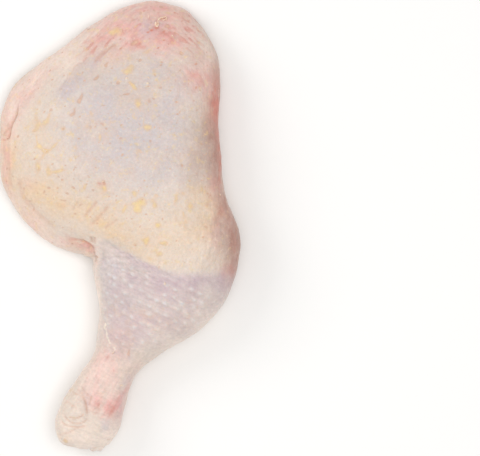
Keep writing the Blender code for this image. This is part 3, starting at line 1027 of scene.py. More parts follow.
@dataclass(frozen=True)
class RawMeat:
    """Raw dark poultry meat under the skin: wet pink muscle with its grain and pale membrane."""

    roughness: float = 0.34
    blotch_mm: float = 11.0
    film_mm: float = 7.0
    fray_mm: float = 2.2
    speck_mm: float = 0.9

    def build(self) -> bpy.types.Material:
        """Makes the material, which reads the masks fat and fibre."""
        nodes = NodeTree("raw_poultry_meat", ("fat", "fibre"))
        blotch, film, fray, speck = (
            nodes.add("TexNoise", {"Vector": nodes.place, "Scale": MM / size, "Detail": 4.0}, "Fac")
            for size in (self.blotch_mm, self.film_mm, self.fray_mm, self.speck_mm)
        )
        depth = nodes.add("MapRange", {0: blotch, 1: 0.35, 2: 0.65})
        silver = nodes.add("MapRange", {0: film, 1: 0.5, 2: 0.68, 3: 0.15, 4: 0.8})
        thread = nodes.add("MapRange", {0: nodes.masks["fibre"], 1: 0.35, 2: 0.8})
        veil = nodes.add("Math", {0: silver, 1: thread}, operation="MULTIPLY")
        ragged = {0: fray, 1: 1.2, 2: nodes.masks["fat"]}
        frayed = nodes.add("Math", ragged, operation="MULTIPLY_ADD")
        cover = nodes.add("MapRange", {0: frayed, 1: 0.86, 2: 1.3, 3: 0.0, 4: 0.9})
        deep = nodes.add("Math", {0: cover, 1: depth}, operation="MULTIPLY")
        layers = ((depth, Tone.MEAT_DARK), (veil, Tone.MEMBRANE), (cover, Tone.FAT), (deep, Tone.FAT_DEEP))
        colour: Any = Tone.MEAT.rgba
        for share, tone in layers:
            colour = nodes.add("Mix", {0: share, 6: colour, 7: tone.rgba}, 2, data_type="RGBA")
        relief = nodes.add("Bump", {"Height": speck, "Strength": 0.4, "Distance": BUMP_HEIGHT})
        finish = {
            "Base Color": colour, "Roughness": self.roughness, "IOR": 1.4, "Normal": relief,
            "Coat Weight": 0.3, "Coat Roughness": 0.18,
        }
        nodes.fill(nodes.shader, finish)
        return nodes.material


@dataclass(frozen=True)
class PaleTissue:
    """Cartilage or torn cuticle: pale, moist and wax-like, darker in patches where its noise also lifts
    its fine relief.
    """

    name: str
    light: Tone
    deep: Tone
    cloud_mm: float = 2.5
    roughness: float = 0.4
    coat: float = 0.2

    def build(self) -> bpy.types.Material:
        """Makes the material."""
        nodes = NodeTree(self.name)
        scale = {"Vector": nodes.place, "Scale": MM / self.cloud_mm, "Detail": 3.0}
        cloud = nodes.add("TexNoise", scale, "Fac")
        depth = nodes.add("MapRange", {0: cloud, 1: 0.4, 2: 0.72})
        tones = {0: depth, 6: self.light.rgba, 7: self.deep.rgba}
        colour = nodes.add("Mix", tones, 2, data_type="RGBA")
        relief = nodes.add("Bump", {"Height": cloud, "Strength": 0.5, "Distance": BUMP_HEIGHT})
        finish = {
            "Base Color": colour, "Roughness": self.roughness, "Normal": relief,
            "Coat Weight": self.coat, "Coat Roughness": 0.2,
            "Subsurface Weight": 0.15, "Subsurface Scale": 1.0,
            "Subsurface Radius": (2.0 * METRES, 1.4 * METRES, 0.8 * METRES),
        }
        nodes.fill(nodes.shader, finish)
        return nodes.material


# ---------------------------------------------------------------------------------------------
# The skin
# ---------------------------------------------------------------------------------------------


@dataclass(frozen=True)
class SkinPaint:
    """Where the skin changes: soft ovals of each tone, ragged marks, strokes and folds."""

    thin: Places = (
        (2.9, -64.4, 4.6, 3.6, 0, 0.45), (4.9, 49.8, 12.2, 11.2, 0, 0.4),
        (4.9, 56.4, 25.5, 28.5, 0, 0.95), (-14.5, 52.8, 13.3, 17.3, 0, 0.55),
        (22.7, 64, 13.3, 22.4, 0, 0.5), (10, 30.9, 22.4, 13.3, 0, 0.5), (-27.2, 69.1, 6.1, 4.1, 38, 0.6),
        (-21.1, 74.7, 5.1, 3.1, 38, 0.5), (25.3, 38.6, 9.2, 18.3, 0, 0.45),
        (-10.4, 38.6, 18.3, 11.2, 0, 0.35), (-5.3, -18.5, 6.6, 7.6, 0, 0.95),
        (-4.3, -33.8, 6.6, 8.2, 0, 0.75), (3.9, -39.9, 6.1, 4.6, 0, 0.6),
        (36.5, -44, 9.2, 6.6, -30, 0.35), (43.1, -37.9, 6.1, 7.1, 0, 0.35),
        (5.4, -27.7, 6.1, 4.6, 0, 0.5), (51.3, -31.8, 5.1, 6.1, 0, 0.4),
        (15.1, -35.9, 17.3, 12.2, 0, 0.4), (-7.8, -101.1, 1.5, 3.1, -15, 1), (-5.8, -98, 1, 1.5, 0, 0.6),
        (4.3, -64.4, 0.6, 2, 0, 0.9), (7.4, -60.3, 3.6, 2, 0, 0.5), (1.8, -77.6, 1.5, 3.6, -35, 0.4),
        (-15, -88.9, 1.3, 3.1, -20, 0.4), (-5.3, -105.7, 2, 2, 0, 0.1), (15.1, 68.7, 2.5, 1, 0, 0.5),
        (24.3, 79.3, 5.6, 1, -38, 0.5), (-8.4, 5.4, 2, 2.5, 0, 0.2), (-4.3, 20.7, 4.1, 3.1, 0, 0.25),
    )
    # Mauve ovals; those at the knee's right edge are also painted shade.
    mauve: Places = (
        (58.9, -5.3, 2.5, 10.2, -5, 0.8), (14.6, 99.7, 5.6, 4.1, 0, 0.6),
        (35.5, -28.2, 13.3, 4.1, 0, 0.8), (14.1, -20.6, 13.3, 3.6, -22, 0.65),
        (22.7, -37.9, 19.4, 11.2, -25, 0.12), (5.9, -49.1, 12.2, 4.6, -20, 0.45),
        (53.3, -25.7, 4.1, 6.1, 0, 0.5), (0.3, -13.9, 6.6, 2, -25, 0.6),
        (15.1, -30.2, 13.3, 5.1, -20, 0.25), (-12.4, 83.9, 3.1, 1.5, 60, 0.5),
        (-8.4, 87, 2.5, 1.3, 50, 0.4), (-0.2, -61.3, 4.1, 2.5, 0, 0.4), (2.3, -56.2, 4.1, 2, -10, 0.5),
        (-22.1, 74.7, 4.1, 2.5, 38, 0.35), (-27.2, 69.1, 4.6, 2.5, 38, 0.35),
        (-15, -87.8, 2.5, 4.1, -20, 0.15), (18.7, 102.8, 4.6, 2.5, 0, 0.3), (15.1, 95.6, 3.1, 2, 0, 0.3),
    )
    pink: Places = (
        (-24.7, 95.6, 20.4, 3.1, 38, 0.35), (50.8, 0.8, 3.1, 11.2, -10, 0.45),
        (8, -71, 4.1, 5.1, -30, 0.15), (23.2, 91.6, 7.1, 3.6, 20, 0.4), (2.9, 95.6, 6.1, 4.6, 0, 0.35),
        (-1.2, -54.7, 7.1, 6.1, 0, 0.45), (-1.2, 86.5, 8.2, 4.1, 30, 0.3),
        (55.9, -23.6, 4.1, 5.1, 0, 0.3), (-7.3, -76.6, 7.6, 14.3, -25, 0.4),
        (36.5, 76.8, 10.2, 13.3, 0, 0.25), (26.3, 90.5, 11.2, 4.6, 30, 0.4),
        (16.1, 96.7, 18.3, 7.6, 0, 0.5), (-0.2, -94, 3.1, 8.2, -10, 0.7),
        (-58.3, 38.6, 3.1, 14.3, 0, 0.3), (-43, 0.8, 14.3, 4.1, -48, 0.35),
        (15.1, 109.9, 25.5, 8.2, 0, 0.85), (24.3, 101.2, 4.1, 3.1, 0, 0.35),
        (34.5, 102.8, 8.2, 11.2, 40, 0.2), (-4.3, 103.8, 11.2, 4.1, 28, 0.5),
        (-30.8, 86.5, 20.4, 3.1, 36, 0.15), (-52.2, 68.1, 8.2, 3.1, 60, 0.25),
        (8.5, 93.6, 4.6, 3.6, 0, 0.8), (20.7, 97.2, 4.1, 3.1, 20, 0.7), (25.8, 94.6, 4.1, 4.1, 0, 0.9),
        (12.5, 99.7, 9.2, 6.1, 0, 0.4), (-5.3, 97.2, 9.2, 6.6, 30, 0.3), (-11.4, 93.1, 8.2, 4.1, 45, 0.6),
        (-25.7, 83.4, 12.2, 3.6, 36, 0.1), (-45.1, 71.7, 12.2, 5.1, 42, 0.5),
        (-56.3, 57.9, 4.1, 14.3, 0, 0.42), (-50.7, 64, 4.6, 9.2, -20, 0.45),
        (-58.8, 28.4, 2.3, 16.3, 0, 0.35), (-55.2, 10.5, 2.3, 8.2, 22, 0.28),
        (-46.1, -0.2, 7.1, 2.5, -50, 0.5), (-30.8, -8.8, 9.2, 2.3, -24, 0.6),
        (-19.6, -11.9, 7.1, 2.3, -18, 0.8), (37, 75.2, 3.6, 4.6, 0, 0.6), (41.6, 71.2, 3.6, 5.1, 0, 0.3),
        (47.7, 66.6, 4.6, 13.3, 0, 0.7), (43.1, 85.4, 5.6, 9.2, 20, 0.2), (47.2, 20.7, 3.1, 9.2, 0, 0.5),
        (48.7, 48.7, 3.1, 10.2, 0, 0.4), (-5.3, -64.4, 6.1, 4.6, 0, 0.6), (-8.4, -69, 6.6, 5.6, 0, 0.4),
        (-10.9, -77.6, 6.1, 5.1, 0, 0.4), (-9.9, -88.3, 4.6, 4.6, 0, 0.7),
        (-4.3, -92.4, 4.1, 5.1, 0, 0.8), (0.3, -87.8, 2.5, 6.6, -15, 0.4),
        (3.4, -82.7, 1.5, 4.1, -15, 0.6), (-18, -83.8, 4.1, 2, -40, 0.3),
        (15.1, -47.1, 15.3, 4.1, -15, 0.25), (-47.1, 21.2, 4.6, 4.1, 0, 0.2),
        (44.6, -5.3, 5.1, 7.1, 0, 0.1),
    )
    fat: Places = (
        (38.5, 17.1, 4.6, 5.1, 0, 0.7), (-36.9, 38.6, 8.2, 7.1, 0, 0.3), (15.1, 113.5, 13.3, 1.5, 0, 0.5),
        (45.7, 5.4, 4.6, 13.3, -12, 0.6), (-1.2, -55.7, 7.1, 6.1, 0, 0.5),
        (-20.6, -11.4, 6.6, 2.5, -18, 1.3), (-45.1, -1.2, 16.3, 4.6, -46, 0.95),
        (-57.3, 36, 4.1, 17.3, 0, 0.85), (-8.4, 20.2, 4.1, 3.6, 0, 0.9), (-2.8, 85.4, 8.2, 4.1, 30, 0.4),
        (2.9, -60.8, 6.1, 4.1, 0, 0.3), (-38.4, 15.1, 12.2, 8.2, -30, 0.8),
        (-47.6, 18.2, 5.1, 8.2, 0, 0.5), (-9.9, 2.9, 12.2, 6.1, -15, 0.8),
        (-1.7, -3.7, 10.2, 4.1, -22, 0.5), (10, -4.8, 13.3, 7.6, -15, 0.2),
        (22.7, -7.3, 17.3, 9.2, 0, 0.3), (-17.5, 8, 6.6, 6.1, 0, 0.5), (-30.3, 10, 6.6, 4.1, 0, 0.5),
        (15.1, -15.5, 9.2, 3.1, -25, 0.35), (36.5, -1.2, 11.2, 11.2, 0, 0.4),
        (45.2, 14.6, 3.6, 6.1, 0, 0.45), (50.3, 8.5, 2.5, 4.6, 0, 0.9), (-56.3, 33.5, 4.1, 11.2, 0, 0.6),
        (-42.5, 50.8, 4.6, 6.6, 0, 0.35), (-25.7, -108.2, 7.1, 4.1, 0, 0.1),
        (-0.2, 10.5, 10.2, 5.1, 0, 0.3), (-11.9, -37.9, 2, 15.3, 0, 0.35),
        (-11.4, -105.2, 6.1, 5.1, 0, 0.1), (-4.3, -62.4, 7.1, 5.1, 0, 0.5),
        (43.6, 57.9, 2.5, 9.2, 0, 0.4), (-1.7, 99.2, 5.1, 2.5, 0, 0.4), (10, 70.2, 6.1, 2.5, -30, 0.3),
        (3.9, 81.4, 7.1, 4.6, 0, 0.4), (27.3, 107.9, 7.1, 3.1, -15, 0.35),
    )
    # Painted shade: ovals that darken the thigh's right flank, the knee's right edge and two small spots
    # lower down.
    shade: Places = (
        (57.9, -5.3, 2, 7.1, -8, 0.6), (50.3, 5.4, 2.5, 9.2, -14, 0.6), (58.4, -19.5, 3.1, 7.1, 0, 0.45),
        (53.8, -6.3, 7.1, 13.3, -8, 0.75), (59.4, -8.8, 3.6, 8.2, 0, 1), (47.2, 38.6, 3.6, 17.3, 0, 0.55),
        (42.1, 39.6, 4.6, 16.3, 0, 0.6), (37.5, 33.5, 4.6, 12.2, 0, 0.3), (39.5, 87, 5.1, 6.1, 0, 0.25),
        (48.7, 76.8, 2.5, 12.2, 0, 0.3), (43.6, 48.7, 3.1, 8.2, 0, 0.4),
        (-0.2, -59.3, 6.1, 3.1, -10, 0.35), (-16.5, -91.9, 1.5, 4.6, 0, 0.45),
        (35.5, 33.5, 7.1, 15.3, 0, 0.25),
    )
    # Painted light: ovals that lighten the rims, the knob's end, the inner corner and other places that
    # the light leaves dark.
    waxy: Places = (
        (-4.3, -13.4, 6.1, 3.6, -20, 0.3), (35.5, -48.1, 13.3, 5.1, -35, 0.12),
        (-26.2, 81.4, 7.1, 4.1, 40, 0.35), (-41, -0.2, 15.3, 4.1, -46, 0.4),
        (-7.8, -73.6, 7.1, 14.3, -25, 0.38), (-14.5, 96.7, 11.2, 2.5, 38, 0.4),
        (45.7, 88.5, 3.1, 9.2, 15, 0.4), (-46.1, 73.2, 10.2, 4.1, 42, 0.5),
        (43.1, -47.1, 8.2, 6.1, 35, 0.3), (-15.5, -109.2, 13.3, 4.6, 0, 0.85),
        (-27.7, -101.1, 4.1, 6.1, 0, 0.4), (-5.8, -104.1, 3.1, 6.6, -10, 0.55),
        (-54.2, 9, 3.1, 7.1, 22, 0.35), (-31.8, -8.8, 10.2, 2.3, -24, 0.25),
        (-11.4, -13.4, 2, 7.1, 0, 0.6), (-24.2, 83.9, 5.1, 3.1, 36, 0.45),
        (-30.8, 86, 11.2, 3.1, 36, 0.5), (-55.2, 57.9, 3.1, 13.3, 0, 0.45),
        (-11.9, -37.9, 1.5, 15.3, 0, 0.5), (22.7, -56.7, 17.3, 4.1, -26, 0.35),
        (-4.3, -60.8, 4.6, 3.6, 0, 0.15),
    )
    # Ovals of bloodied skin; those along the thigh's right edge are also painted shade.
    blood: Places = (
        (6.7, 93.4, 1, 0.8, 20, 0.6), (46.7, 64, 3.1, 10.2, 0, 0.3), (54.8, -0.2, 2, 7.1, 0, 0.15),
        (54.8, -22.6, 4.1, 3.1, 0, 0.25), (15.1, 107.9, 20.4, 6.1, 0, 0.12),
        (20.7, 95.6, 11.2, 4.1, 10, 0.12), (-12.4, 91.6, 13.3, 4.6, 42, 0.14),
        (48.5, 62.5, 2, 10.2, 0, 0.8), (49.7, 46.7, 1.3, 10.2, 0, 0.6), (50.5, 30.9, 0.8, 12.2, 0, 0.5),
        (25.8, 94.1, 1.7, 2.5, -20, 0.55), (20.7, 97.2, 2.5, 1.8, 20, 0.4), (9, 92.3, 2, 1.3, -30, 0.6),
        (7.4, 97.2, 2.5, 4.1, 0, 0.25), (-4.6, -93.4, 1.8, 3.8, -18, 0.5),
        (-1.7, -88.9, 1.5, 4.1, -15, 0.2), (3.4, -82.7, 1, 3.6, -15, 0.4),
        (-4.5, -93.7, 0.6, 1.1, -18, 0.3), (18.3, 101, 1.5, 0.9, 0, 1), (22.7, 105.4, 1, 0.6, 0, 0.9),
        (21.7, 104.6, 1.3, 0.5, 20, 0.6), (-8.3, 21.8, 0.7, 0.7, 0, 0.9), (-10.2, 21.3, 0.8, 0.6, 0, 0.6),
        (-9.5, 20.8, 2, 1.5, 0, 0.25), (32.7, 105.6, 2, 0.5, -18, 0.6), (34.5, 104.6, 1.3, 0.4, -18, 0.6),
        (37.3, 101.7, 1, 0.4, -20, 0.6), (28.3, 108.5, 1.1, 0.4, 0, 0.4),
        (40.1, 99.7, 1.2, 0.4, -35, 0.5), (-15.2, -11.5, 1.6, 1, -50, 0.9),
        (-16.5, -12.4, 2.5, 1.1, -28, 0.3), (-6.5, -66.6, 0.8, 0.7, 0, 0.5),
        (-4.3, -68.2, 0.9, 0.6, 0, 0.4), (-3.4, -73.2, 0.5, 0.6, 0, 0.7), (-8.4, -71, 0.5, 0.5, 0, 0.4),
        (-12.3, -76.1, 0.5, 0.5, 0, 0.5), (-17, -77.4, 0.5, 0.5, 0, 0.4), (-47.6, 74.4, 0.5, 0.5, 0, 0.5),
        (-42.7, 74.5, 0.5, 0.5, 0, 0.4), (-37.6, 80.5, 0.6, 0.5, 0, 0.6), (-33.1, 83.5, 0.6, 0.5, 0, 0.6),
        (-24.2, 88.4, 0.7, 0.5, 30, 0.6), (-51.6, 65.3, 0.5, 0.6, 0, 0.5),
        (-55.8, 52.8, 0.8, 3.6, -20, 0.5), (-56.5, 46.2, 0.6, 1.5, -10, 0.8),
        (-59.3, 43.7, 0.7, 0.8, 0, 0.6), (50.3, 8.2, 1.8, 3.1, 0, 0.3), (44.3, 10.5, 1, 1, 0, 0.3),
        (37.2, 76.4, 2, 1.5, 0, 0.3), (40.1, 73.2, 1.5, 2.5, 0, 0.25),
    )
    film: Places = (
        (-36.9, 54.4, 4.1, 1.2, 62, 0.6), (-37.7, 52.6, 2.1, 1.2, 20, 0.45),
        (-42.8, 54.9, 1.4, 2.3, 0, 0.45), (-42.2, 51, 1.4, 2.9, -20, 0.55),
        (-44, 48.5, 1.8, 1.1, 30, 0.6), (-40.5, 51.3, 2.1, 1, 20, 0.45), (-41.5, 40.1, 1.8, 1.5, 0, 0.9),
        (-38.4, 38.3, 2.1, 1.2, 0, 1), (-34.1, 40.3, 2.2, 1, 40, 0.8), (-39.4, 35.5, 1, 2.1, -15, 0.6),
        (-41.7, 29.9, 1.7, 3.8, 0, 0.8), (-36.1, 27.9, 1.5, 3.4, 0, 0.65),
        (-32.8, 27.3, 2.8, 1.2, 10, 0.7), (-30, 28.2, 2.3, 1.2, 25, 0.8), (-29.3, 49.4, 1.8, 1.7, 0, 0.6),
        (-16.5, 50, 2.1, 1.8, 40, 0.4), (-10.2, 44.5, 1, 2.2, 0, 0.7), (-22.9, 39.6, 1.2, 2.8, 0, 0.5),
        (-8.1, 19.4, 1.5, 1.8, 0, 0.9), (-18, 19.5, 0.9, 1.9, 0, 0.8), (7.5, 16.6, 1.9, 1.9, 0, 0.8),
        (10.5, 11.5, 2.9, 2.2, 20, 1), (9, 9, 1.8, 2.3, 0, 1), (6.7, 10.8, 1.8, 0.8, 0, 0.7),
        (1.9, 8.7, 2.5, 0.9, 60, 0.9), (17.7, 10.8, 1.6, 2.2, 0, 0.8), (16.4, 13.1, 0.8, 1.7, -40, 0.5),
        (18.8, 14.9, 1, 1, 0, 0.6), (28.3, 14, 1.1, 3.2, -8, 0.6), (32.2, 16.3, 1.6, 1.6, 0, 0.55),
        (35.5, 9.8, 1.7, 1.7, 0, 0.8), (32, 5.9, 1, 1.9, 0, 0.7), (32.7, 0.8, 1.2, 2.8, 0, 0.45),
        (19.3, 0.3, 1.5, 1.5, 0, 1), (16.7, -3.4, 1.1, 1.1, 0, 0.5), (13.8, -7.3, 1.2, 2.9, -15, 0.9),
        (12, -7.3, 1.5, 0.9, 0, 0.7), (22.1, -8.7, 2.2, 1, -10, 0.85), (8, -8.9, 1.7, 1.5, 0, 0.5),
        (20.2, -14.2, 2.1, 1.4, 20, 0.75), (15.3, -16.1, 1.8, 1.1, 0, 0.5), (4.1, 78.6, 3.4, 1.7, 0, 0.8),
        (5.4, 80.9, 1.5, 1.2, 0, 0.6), (6.7, 70.8, 2.5, 1.1, -48, 0.9), (5.1, 72.7, 1.1, 1, -48, 0.6),
        (9.6, 61.2, 1.7, 1.9, -30, 0.9), (9, 63.8, 1.5, 1, 30, 0.5), (17.2, 78.1, 1.9, 1.9, 0, 0.5),
        (13.3, 88.8, 2.2, 1.5, 0, 0.55), (13.8, 49.8, 2.3, 1.9, 0, 0.85),
        (12.3, 53.3, 0.6, 2.2, -20, 0.5), (42.7, 46.7, 2.2, 0.7, 50, 0.8), (9.6, 37.7, 2.5, 1.5, 20, 0.5),
        (14.7, 39.8, 0.7, 0.7, 0, 1), (-2.2, 99.2, 3.6, 2.1, 10, 0.75), (-4.3, 98.2, 1.7, 1.4, 0, 0.5),
        (24.3, 108.5, 2.1, 0.8, 0, 0.6), (-14.6, 56.8, 1, 2.2, 0, 0.5), (44.7, 24, 0.9, 0.9, 0, 0.9),
        (41, 18.9, 1, 1.8, -20, 0.7), (-0.2, 0.3, 1.4, 1, 0, 0.4), (-27.7, -109.2, 1.2, 1, 0, 0.8),
        (-41.8, 63.2, 1.5, 1.5, 0, 0.45), (-30.4, 10.1, 3.4, 2.1, 0, 0.5),
        (-25.9, -83.2, 1.8, 1.1, 40, 0.4), (-23.1, 5.8, 1.4, 1, 0, 0.5), (44.1, 10.5, 1.4, 2.1, 0, 0.4),
    )
    tears: Places = (
        (-19.8, 65.1, 3.5, 1, 58, 0.6), (-20.9, 63.3, 1.3, 1, 0, 0.8), (-23.4, 57.9, 2.9, 0.8, 58, 0.6),
        (-24.5, 56.4, 1.3, 0.9, 0, 0.7), (-12.1, 75.3, 1.9, 1, 35, 0.9), (-7.8, 81.2, 0.8, 0.9, -20, 1),
        (-6.8, 82.6, 0.7, 1.2, -30, 0.5), (3.2, 66.6, 2.5, 0.7, 18, 0.8), (14.7, 63.1, 1.2, 1.5, 0, 0.5),
        (-8.3, 60.8, 2, 0.6, 5, 0.6), (10.3, 84, 1.1, 1.2, -30, 0.8), (-34.8, 58.9, 0.7, 0.8, 0, 1),
        (-29.3, 49.3, 0.7, 0.7, 0, 0.8), (-44.3, 47.9, 1.3, 0.6, 0, 0.5), (-15.5, 50, 0.9, 1.8, -25, 0.5),
        (-9, 51.4, 0.8, 1.2, 30, 0.6), (-18, 36.3, 2.6, 0.6, -38, 0.45), (-5.3, 41.2, 0.8, 0.6, 0, 0.6),
        (0.3, 43.9, 1.1, 0.7, 30, 0.6), (0.6, 39.2, 0.8, 0.9, 0, 0.5), (-3.3, 32.4, 0.7, 0.7, 0, 0.6),
        (-22.6, 29.6, 0.9, 0.6, -15, 0.7), (-31.5, 24.9, 0.9, 0.6, 0, 0.6),
        (-15.7, 25.7, 0.8, 0.6, -15, 0.7), (-19.7, 22.7, 0.8, 0.6, -30, 0.6),
        (-24, 19.6, 0.9, 0.6, -10, 0.7), (-27.2, 16.6, 0.9, 0.6, 0, 0.8), (-36.4, 19.5, 1.1, 0.6, 0, 0.7),
        (-42.5, 22.2, 1.3, 0.6, 8, 0.6), (-45.6, 13.1, 1.5, 0.6, 10, 0.6), (-17, 14.3, 1.4, 0.6, 10, 0.6),
        (-29.1, 13, 1.5, 0.6, 15, 0.6), (-23.3, 5.9, 0.9, 0.7, 0, 0.6), (-20.1, 10.3, 1.2, 0.6, 30, 0.5),
        (17.3, 63.9, 0.9, 0.6, 0, 0.7), (25.1, 67.9, 0.8, 0.6, -20, 0.8), (20.2, 69.9, 0.8, 0.6, 0, 0.6),
        (32.1, 71.7, 0.8, 0.6, -10, 0.5), (29.6, 78.6, 0.8, 0.6, 0, 0.7), (21.1, 82.7, 0.9, 0.6, 5, 0.7),
        (28.6, 51.4, 0.7, 0.7, 0, 0.7), (15.2, 42.9, 0.8, 0.8, 0, 0.7), (20.9, 46.9, 0.9, 0.6, 45, 0.5),
        (22.3, 62.2, 1, 0.6, 10, 0.5), (38.8, 58.8, 0.7, 1.1, -30, 0.6), (40.3, 68.6, 0.7, 1, 0, 0.6),
        (39.5, 70.9, 0.7, 0.7, 0, 0.5), (30.6, 87.6, 0.7, 1.7, 38, 1), (-1.4, 72.5, 0.8, 0.6, 0, 0.7),
        (-4.9, 72.9, 0.7, 0.8, -30, 0.6), (6.7, 93.4, 1.8, 1.2, 20, 1), (24.1, 101.5, 1.3, 1, 0, 0.9),
        (9.8, 108.2, 0.8, 0.6, 30, 0.7), (9.2, 104.7, 0.8, 0.6, 20, 0.7), (23, 2.2, 0.7, 0.6, 30, 0.5),
        (12.8, -1.5, 0.7, 0.6, 30, 0.5), (32.4, -18.5, 0.7, 0.8, -25, 0.5),
        (-12.5, -15.6, 0.7, 0.8, 0, 1), (4.3, -64.4, 0.7, 2, 0, 0.7), (-14.7, -87, 0.9, 1.1, -20, 0.45),
    )
    # Torn specks: how strong they are, and where those stand.
    speck_oval: tuple[float, float] = (0.7, 0.6)
    specks: tuple[tuple[float, Places], ...] = (
        (0.5, (
            (-11.8, 51.7), (-11.4, 45.9), (-8.8, 35), (26, 81.6), (14.4, 57.8), (19.5, 55.6), (4.5, 54.1),
            (-1.1, 56), (12.1, 42.9), (37.2, 62.8), (26.9, -5.2), (35.5, -1.7), (36.4, -8.4),
            (10.3, 18.7), (20.7, 21.3), (17, 16), (25, -10.4),
        )),
        (0.6, (
            (-14.1, 37.4), (-11.9, 29.4), (-38, 15.7), (27.7, 73.5), (9.7, 51.9), (40.2, 41.1),
            (17.4, 109.8), (15.6, 103.6), (33.4, 97.5), (29.9, 0.5), (24, 21.6),
        )),
        (0.7, (
            (-6.6, 49.6), (17.4, 76.5), (21.8, 100.3), (27.6, 98.4),
        )),
        (0.8, (
            (-13.5, 18), (20.4, 111.5), (15.1, 99.9), (42.9, 25.3),
        )),
        (0.9, (
            (44, -0.4), (54.5, 6.8),
        )),
        (1, (
            (-8.3, 21.8),
        )),
    )
    # Pale marks: a tendon streak and specks of cuticle; the small specks are also painted glints.
    pale: Places = (
        (-42.2, 29.4, 0.5, 0.9, -25, 1), (-33.7, 14.8, 1.3, 0.4, -50, 1), (13.8, 72.1, 0.7, 0.5, 0, 1),
        (14.2, 75.1, 0.4, 0.4, 0, 1), (-7.8, 3.7, 0.5, 0.6, 0, 1), (50.5, 15.9, 0.5, 0.6, 0, 0.9),
        (2.9, 74.7, 0.5, 0.5, 0, 1), (-23.3, 35.1, 0.6, 0.3, -70, 0.9), (13.7, 106.2, 0.4, 1.4, 10, 0.7),
        (26.2, 96.2, 0.5, 0.4, 0, 1), (22.7, -29.2, 0.5, 0.7, 0, 0.8), (3.3, 75.5, 0.5, 0.4, 0, 0.8),
        (-0.7, 80.3, 0.8, 0.6, 0, 0.4), (-3.6, 86.5, 1.3, 0.8, 0, 0.4), (0.6, 99.7, 0.3, 1.2, 15, 0.5),
        (11.8, 77.3, 0.8, 0.6, 0, 0.4), (17.6, 78.6, 0.6, 0.9, 0, 0.4), (5.4, 78.3, 0.5, 0.7, 20, 0.4),
        (-28.7, 37.5, 0.5, 0.5, 0, 0.4), (-8.4, -47.1, 0.5, 2, -10, 0.4),
        (-3.9, -64.4, 0.7, 0.5, 40, 0.8), (5.7, -59.6, 1, 0.7, 30, 0.5), (-20.6, -82, 1.1, 0.5, -30, 0.5),
        (0.6, -81.2, 0.7, 0.6, 0, 0.6), (-15, -95, 1, 0.7, 0, 0.5), (-25.7, -82.7, 0.8, 0.5, 20, 0.4),
    )
    film_strokes: Strokes = (
        (((-42.8, 47.7), (-42.7, 44.2), (-42, 40.6), (-38.7, 38.4), (-35.9, 39.3), (-33.6, 40.8),
          (-32.3, 42.9), (-32, 44.7)), 0.468, 0.75),
        (((-38.7, 38), (-39.4, 35.5), (-41.7, 33.2)), 0.468, 0.5),
    )
    pale_strokes: Strokes = (
        (((-8.6, -48.1), (-7.5, -53.2), (-6, -57.3), (-4, -60.3)), 0.792, 0.7),
        (((-4, -60.3), (-2.9, -62.6), (-4.3, -64.9)), 0.492, 0.6),
        (((-16.4, 88.7), (-18.9, 83.6), (-22.3, 81.8), (-25.3, 77.6), (-28.6, 72.1)), 0.432, 0.4),
        (((-9.9, -33.3), (-9.6, -38.9), (-8.6, -48.1)), 0.672, 0.35),
    )
